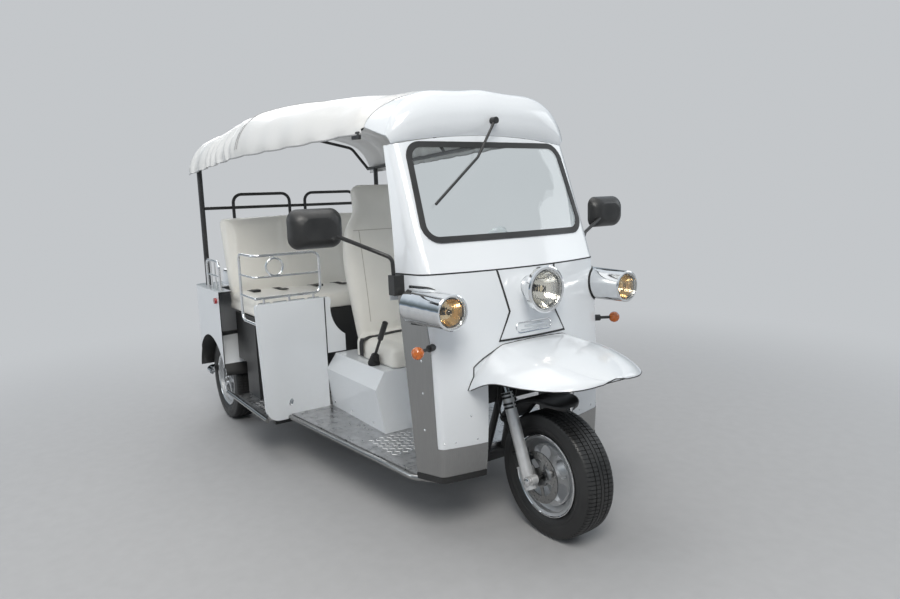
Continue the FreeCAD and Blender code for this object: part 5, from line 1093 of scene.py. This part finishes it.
driver_buckle = buckle("driver_buckle", (-0.007, across[-1].y + 0.030, across[-1].z + 0.0070), (0.052, 0.074, 0.016))
finish(driver_belt, "driver_belt", [belt_black], angle=40)
finish(driver_buckle, "driver_belt_buckle", [grained_plastic], angle=40)


# Bulkheads: white moulded panels in front of the passengers, edged in black rubber, with a
# bright rail along the top and a turn latch low down on each.
dress("bulkheads", "bulkheads_moulding", [white_gelcoat])
rails, latches = [], []
RAIL_X, RAIL_Z = -0.259, 0.9235
for side in (-1, 1):
    for start, end in ((0.385, 0.455), (0.475, 0.560), (0.580, 0.655), (0.675, 0.740)):
        rails.append(pipe("rail", [(RAIL_X, side * start, RAIL_Z), (RAIL_X, side * end, RAIL_Z)], 0.0042))
    for x, size in ((-0.2435, (0.005, 0.012, 0.040)), (-0.2446, (0.003, 0.022, 0.030))):
        latches.append(buckle("latch", (x, side * 0.599, 0.345), size, (0.35 * side, 0, 0)))
finish(joined(rails), "bulkhead_top_rails", [chrome])
finish(joined(latches), "bulkhead_latches", [chrome], angle=40)


# Guards: steel tube, bent, welded and chromed, over the bulkheads and along the rear wings.
# They keep the passengers' arms inside.
dress("passenger_guards", "chrome_guards", [chrome])


# Roof frame and headrest hoops: welded black tube, the hoops standing on the tail behind the
# bench.
for node in ("roof_frame", "headrest_hoops"):
    dress(node, node + "_black", [black_coat])


# Canopy: one sheet of PVC-coated canvas stretched over the bows from the roof cap to the
# rear bow, its hem turned over a cord and its one joint double stitched over the middle bow.
def canvas_weave(nodes, links, place):
    weave = add(nodes, "TexVoronoi", {"Scale": 700})
    links.new(place.outputs["Object"], weave.inputs["Vector"])
    return weave.outputs["Distance"]


def coated_canvas(name, color=(0.78, 0.775, 0.76)):
    return coated(name, tints(color, 0.94), (0.28, 0.44), (3, 6), (0, 0, 0.15, 0.0004), coat=0.35,
                  height=canvas_weave, sockets={"Sheen Weight": 0.1})


canvas = coated_canvas("coated_canvas")


# stations: x, half width at the hem, height of the hem, height of the crown
CANVAS_ROWS = ((0.685, 0.550, 1.781, 1.958), (0.135, 0.632, 1.768, 2.010), (-0.505, 0.722, 1.755, 2.060),
               (-1.035, 0.717, 1.733, 2.022), (-1.625, 0.708, 1.708, 1.972))
HEM_DROP = 0.030


def canvas_row(x):
    for front, back in zip(CANVAS_ROWS, CANVAS_ROWS[1:]):
        if x >= back[0] or back is CANVAS_ROWS[-1]:
            t = (front[0] - x) / (front[0] - back[0])
            return [a + (b - a) * t for a, b in zip(front, back)]


def arc_through(a, b, c, t):
    # a point on the circle through three points of a plane
    ax, ay = a
    bx, by = b
    cx, cy = c
    d = 2 * (ax * (by - cy) + bx * (cy - ay) + cx * (ay - by))
    aa, bb, cc = ax * ax + ay * ay, bx * bx + by * by, cx * cx + cy * cy
    ux = (aa * (by - cy) + bb * (cy - ay) + cc * (ay - by)) / d
    uy = (aa * (cx - bx) + bb * (ax - cx) + cc * (bx - ax)) / d
    r = math.hypot(ax - ux, ay - uy)
    start, middle, end = (math.atan2(p[1] - uy, p[0] - ux) for p in (a, b, c))
    while middle > start:
        middle -= 2 * math.pi
    while end > middle:
        end -= 2 * math.pi
    angle = start + (end - start) * t
    return ux + r * math.cos(angle), uy + r * math.sin(angle)


def canvas_at(x, across):
    # across runs from -1 at the right hem over the crown to 1 at the left hem
    half, hem, crown = canvas_row(x)[1:]
    rise = crown - hem
    side = -1 if across < 0 else 1
    u = abs(across)
    low, flank, knee = (-half, hem), (-half * 0.915, hem + rise * 0.46), (-half * 0.74, hem + rise * 0.73)
    if u > 0.95:
        y, z = -half, hem - HEM_DROP * (u - 0.95) / 0.05
    elif u > 0.70:
        y, z = arc_through(low, flank, knee, (0.95 - u) / 0.25)
    else:
        y, z = arc_through(knee, (0, crown), (-knee[0], knee[1]), 0.5 * (0.70 - u) / 0.70)
    return Vector((x, -side * y, z))


bpy.ops.object.select_all(action="DESELECT")
bpy.ops.mesh.primitive_grid_add(x_subdivisions=150, y_subdivisions=110, size=2, location=(0, 0, 0))
canopy = bpy.context.object
canopy.name = "canopy_cloth"
FRONT_X, REAR_X, SEAM_X = 0.757, -1.624, -0.505


def scallop(x):
    # the hem hangs in shallow scallops between its fastenings
    return -0.0045 * abs(math.sin((x - FRONT_X) * 2 * math.pi / 0.46))


for vertex in canopy.data.vertices:
    along, across = (1 - vertex.co.x) / 2, vertex.co.y
    # the front edge runs forward from the clamps to the crown
    front = FRONT_X - 0.072 * min(1.0, abs(across) / 0.95) ** 1.6
    x = front + (REAR_X - front) * along
    place = canvas_at(x, across)
    ahead, aside = canvas_at(max(x - 0.01, REAR_X), across), canvas_at(x, min(across + 0.01, 1.0))
    back, left = canvas_at(min(x + 0.01, FRONT_X), across), canvas_at(x, max(across - 0.01, -1.0))
    out = (back - ahead).cross(aside - left).normalized()
    if out.dot(Vector((0, place.y, max(place.z - 1.5, 0.2)))) < 0:
        out = -out
    # the cloth sags between the bows and lies tight on them
    bows = (0.70, 0.135, SEAM_X, -1.595)
    sag = 0.0
    for first, last in zip(bows, bows[1:]):
        if last <= x <= first:
            t = (first - x) / (first - last)
            sag = math.sin(math.pi * t) ** 1.3
    u = abs(across)
    slack = sag * (0.013 * (1 - u ** 2) + 0.006 * (u < 0.95) * math.sin(math.pi * min(u, 0.95) / 0.95))
    # long creases run aslant from the corners over the middle, ripples upright behind the seam
    edge = max(0.0, 1 - u ** 6)
    crease = noise.noise(Vector((x * 2.2 + across * 2.6, across * 3.4 - x * 1.1, 3.1))) * 0.024
    crease += (0.5 - abs(noise.noise(Vector((x * 1.7 - across * 2.2, across * 4.6 + x * 1.3, 9.4))))) * 0.020
    crease *= sag * edge
    ripple = 0.0
    if x < SEAM_X:
        near = math.exp(-(((x - SEAM_X) / 0.30) ** 2))
        wander = noise.noise(Vector((across * 6, x * 3, 1.0)))
        ripple = math.sin(across * 46 + 2.2 * wander) * 0.0065 * near * sag ** 0.4
        # and stand as upright gathers down the flank, where the cloth is drawn round the rear bow
        gather = math.sin(x * 40 + across * 3 + 4 * noise.noise(Vector((x * 3, across * 2, 5.0))))
        ends = min(1.0, (x - REAR_X) / 0.10) * min(1.0, (SEAM_X - x) / 0.15)
        ripple += (gather + 0.4 * abs(gather)) * 0.021 * max(0.0, u - 0.42) * ends
    hang = 0.0
    if u > 0.80:
        hang = scallop(x) * (u - 0.80) / 0.20
        ripple += 0.0035 * math.sin(x * 27 + 1.3 * across) * (u - 0.80) / 0.20
    place = place + out * (-slack + crease + ripple) + Vector((0, 0, hang))
    if x > 0.60 and u < 0.97:
        # the front edge lies on the tail of the roof cap
        middle = Vector((x, 0, 1.62))
        lies = min(1.0, max(0.0, (x - 0.625) / 0.055))
        ray = (place - middle).normalized()
        down_to = met("roof_cap", middle + ray * 1.2, -ray)[0]
        if down_to is not None:
            own, down = (place - middle).length, (down_to - middle).length + 0.0030
            place = middle + ray * max(own + (down - own) * lies * lies * (3 - 2 * lies), down)
    vertex.co = place
edit(canopy)
bpy.ops.mesh.normals_make_consistent(inside=False)
leave()
applied(canopy, "SOLIDIFY", thickness=0.0016, offset=-1)
finish(canopy, "canopy_cloth", [canvas], angle=60)
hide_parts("canopy")


HEM_START = 0.684


def hem_line(side):
    line = []
    for i in range(91):
        x = HEM_START + (REAR_X - HEM_START) * i / 90
        wave = 0.0035 * math.sin(x * 27 + 1.3 * side)
        line.append(canvas_at(x, side * 1.0) + Vector((0, side * wave, scallop(x) + 0.002)))
    return line


def seam_line(x):
    line = []
    for i in range(81):
        place = canvas_at(x, -0.94 + 1.88 * i / 80)
        line.append(place + (place - Vector((x, 0, 1.70))).normalized() * 0.0006)
    return line


hem_grey = coated_canvas("hem_piping", (0.33, 0.33, 0.33))
piping = [pipe("hem_cord", hem_line(side), 0.0042, resolution=1) for side in (-1, 1)]
finish(joined(piping), "canopy_hem_piping", [hem_grey], angle=60)
seams = [pipe("stitch", seam_line(SEAM_X + offset), 0.0016, resolution=1) for offset in (-0.012, 0.012)]
finish(joined(seams), "canopy_seam", [hem_grey], angle=60)
clamps = [buckle("clamp", (0.640, side * 0.548, 1.745), (0.070, 0.014, 0.034), (0, 0.05, 0)) for side in (-1, 1)]
finish(joined(clamps), "canopy_front_clamps", [grained_plastic], angle=40)


# Rear body: a white moulded tub over the wheels, black inside where it faces the passengers,
# with a lid over the luggage space, round red lamps, a blank plate and a chromed bumper.
TUB_FRONT, TUB_END = -1.005, -1.604
TUB_HALF, TUB_RIM = 0.7465, 0.909


def rear_body_finish(at, normal):
    # the wall facing the passengers and all that lies inside the tub is black
    if at.x > TUB_FRONT and normal.x > 0.5:
        return 1
    inside = abs(at.y) < TUB_HALF and at.x > TUB_END and at.z < TUB_RIM
    turned_in = (at.x + 1.30) * normal.x + at.y * normal.y < 0.02
    return int(inside and turned_in)


dress("rear_body", "rear_body_moulding", [white_gelcoat, black_coat], choose=rear_body_finish)
dress("rear_bumper", "chrome_bumper", [chrome])
dress("rear_axle", "rear_axle_black", [black_coat])
red_lens = coloured_lens("red_lens", (0.55, 0.01, 0.01))
dress("rear_lamps", "tail_lamps", [red_lens, chrome])
dress("number_plate", "blank_number_plate", [white_gelcoat])
lamp_rims = []
for side in (-1, 1):
    for z in (0.560, 0.655, 0.750):
        rows = ((-1.6105, 0.0405), (-1.6190, 0.0445), (-1.6240, 0.0420), (-1.6235, 0.0400))
        lamp_rims.append(spun("lamp_rim", [(x, side * 0.580, z + r) for x, r in rows], (-1.61, side * 0.580, z),
                              (1, 0, 0), 36))
finish(joined(lamp_rims), "tail_lamp_rims", [chrome])
plate_screws = [facing((-1.6228, side * 0.120, 0.690), (-1, 0, 0)) for side in (-1, 1)]
finish(copies_of(screw_head("screw_head", 0.0055), plate_screws), "plate_screws", [chrome])
handle = pipe("lid_handle", bent([(-1.612, -0.060, 0.850), (-1.640, -0.060, 0.850), (-1.640, 0.060, 0.850),
                                  (-1.612, 0.060, 0.850)], 0.012), 0.0045)
finish(handle, "lid_handle", [chrome])


# Rear wheels: the same cast rims and tyres as in front, one at each end of the rear axle, held
# by a ring of five nuts.
for side, word in ((-1, "right"), (1, "left")):
    body, centre = "rear_wheel_" + word, (-1.285, side * 0.6, 0.275)
    fit_tyre("rear_tyre_" + word, body, centre)
    dress_rim("rear_rim_" + word, body, centre, side)
bpy.data.objects.remove(tyre_pitch)


bpy.context.view_layer.update()
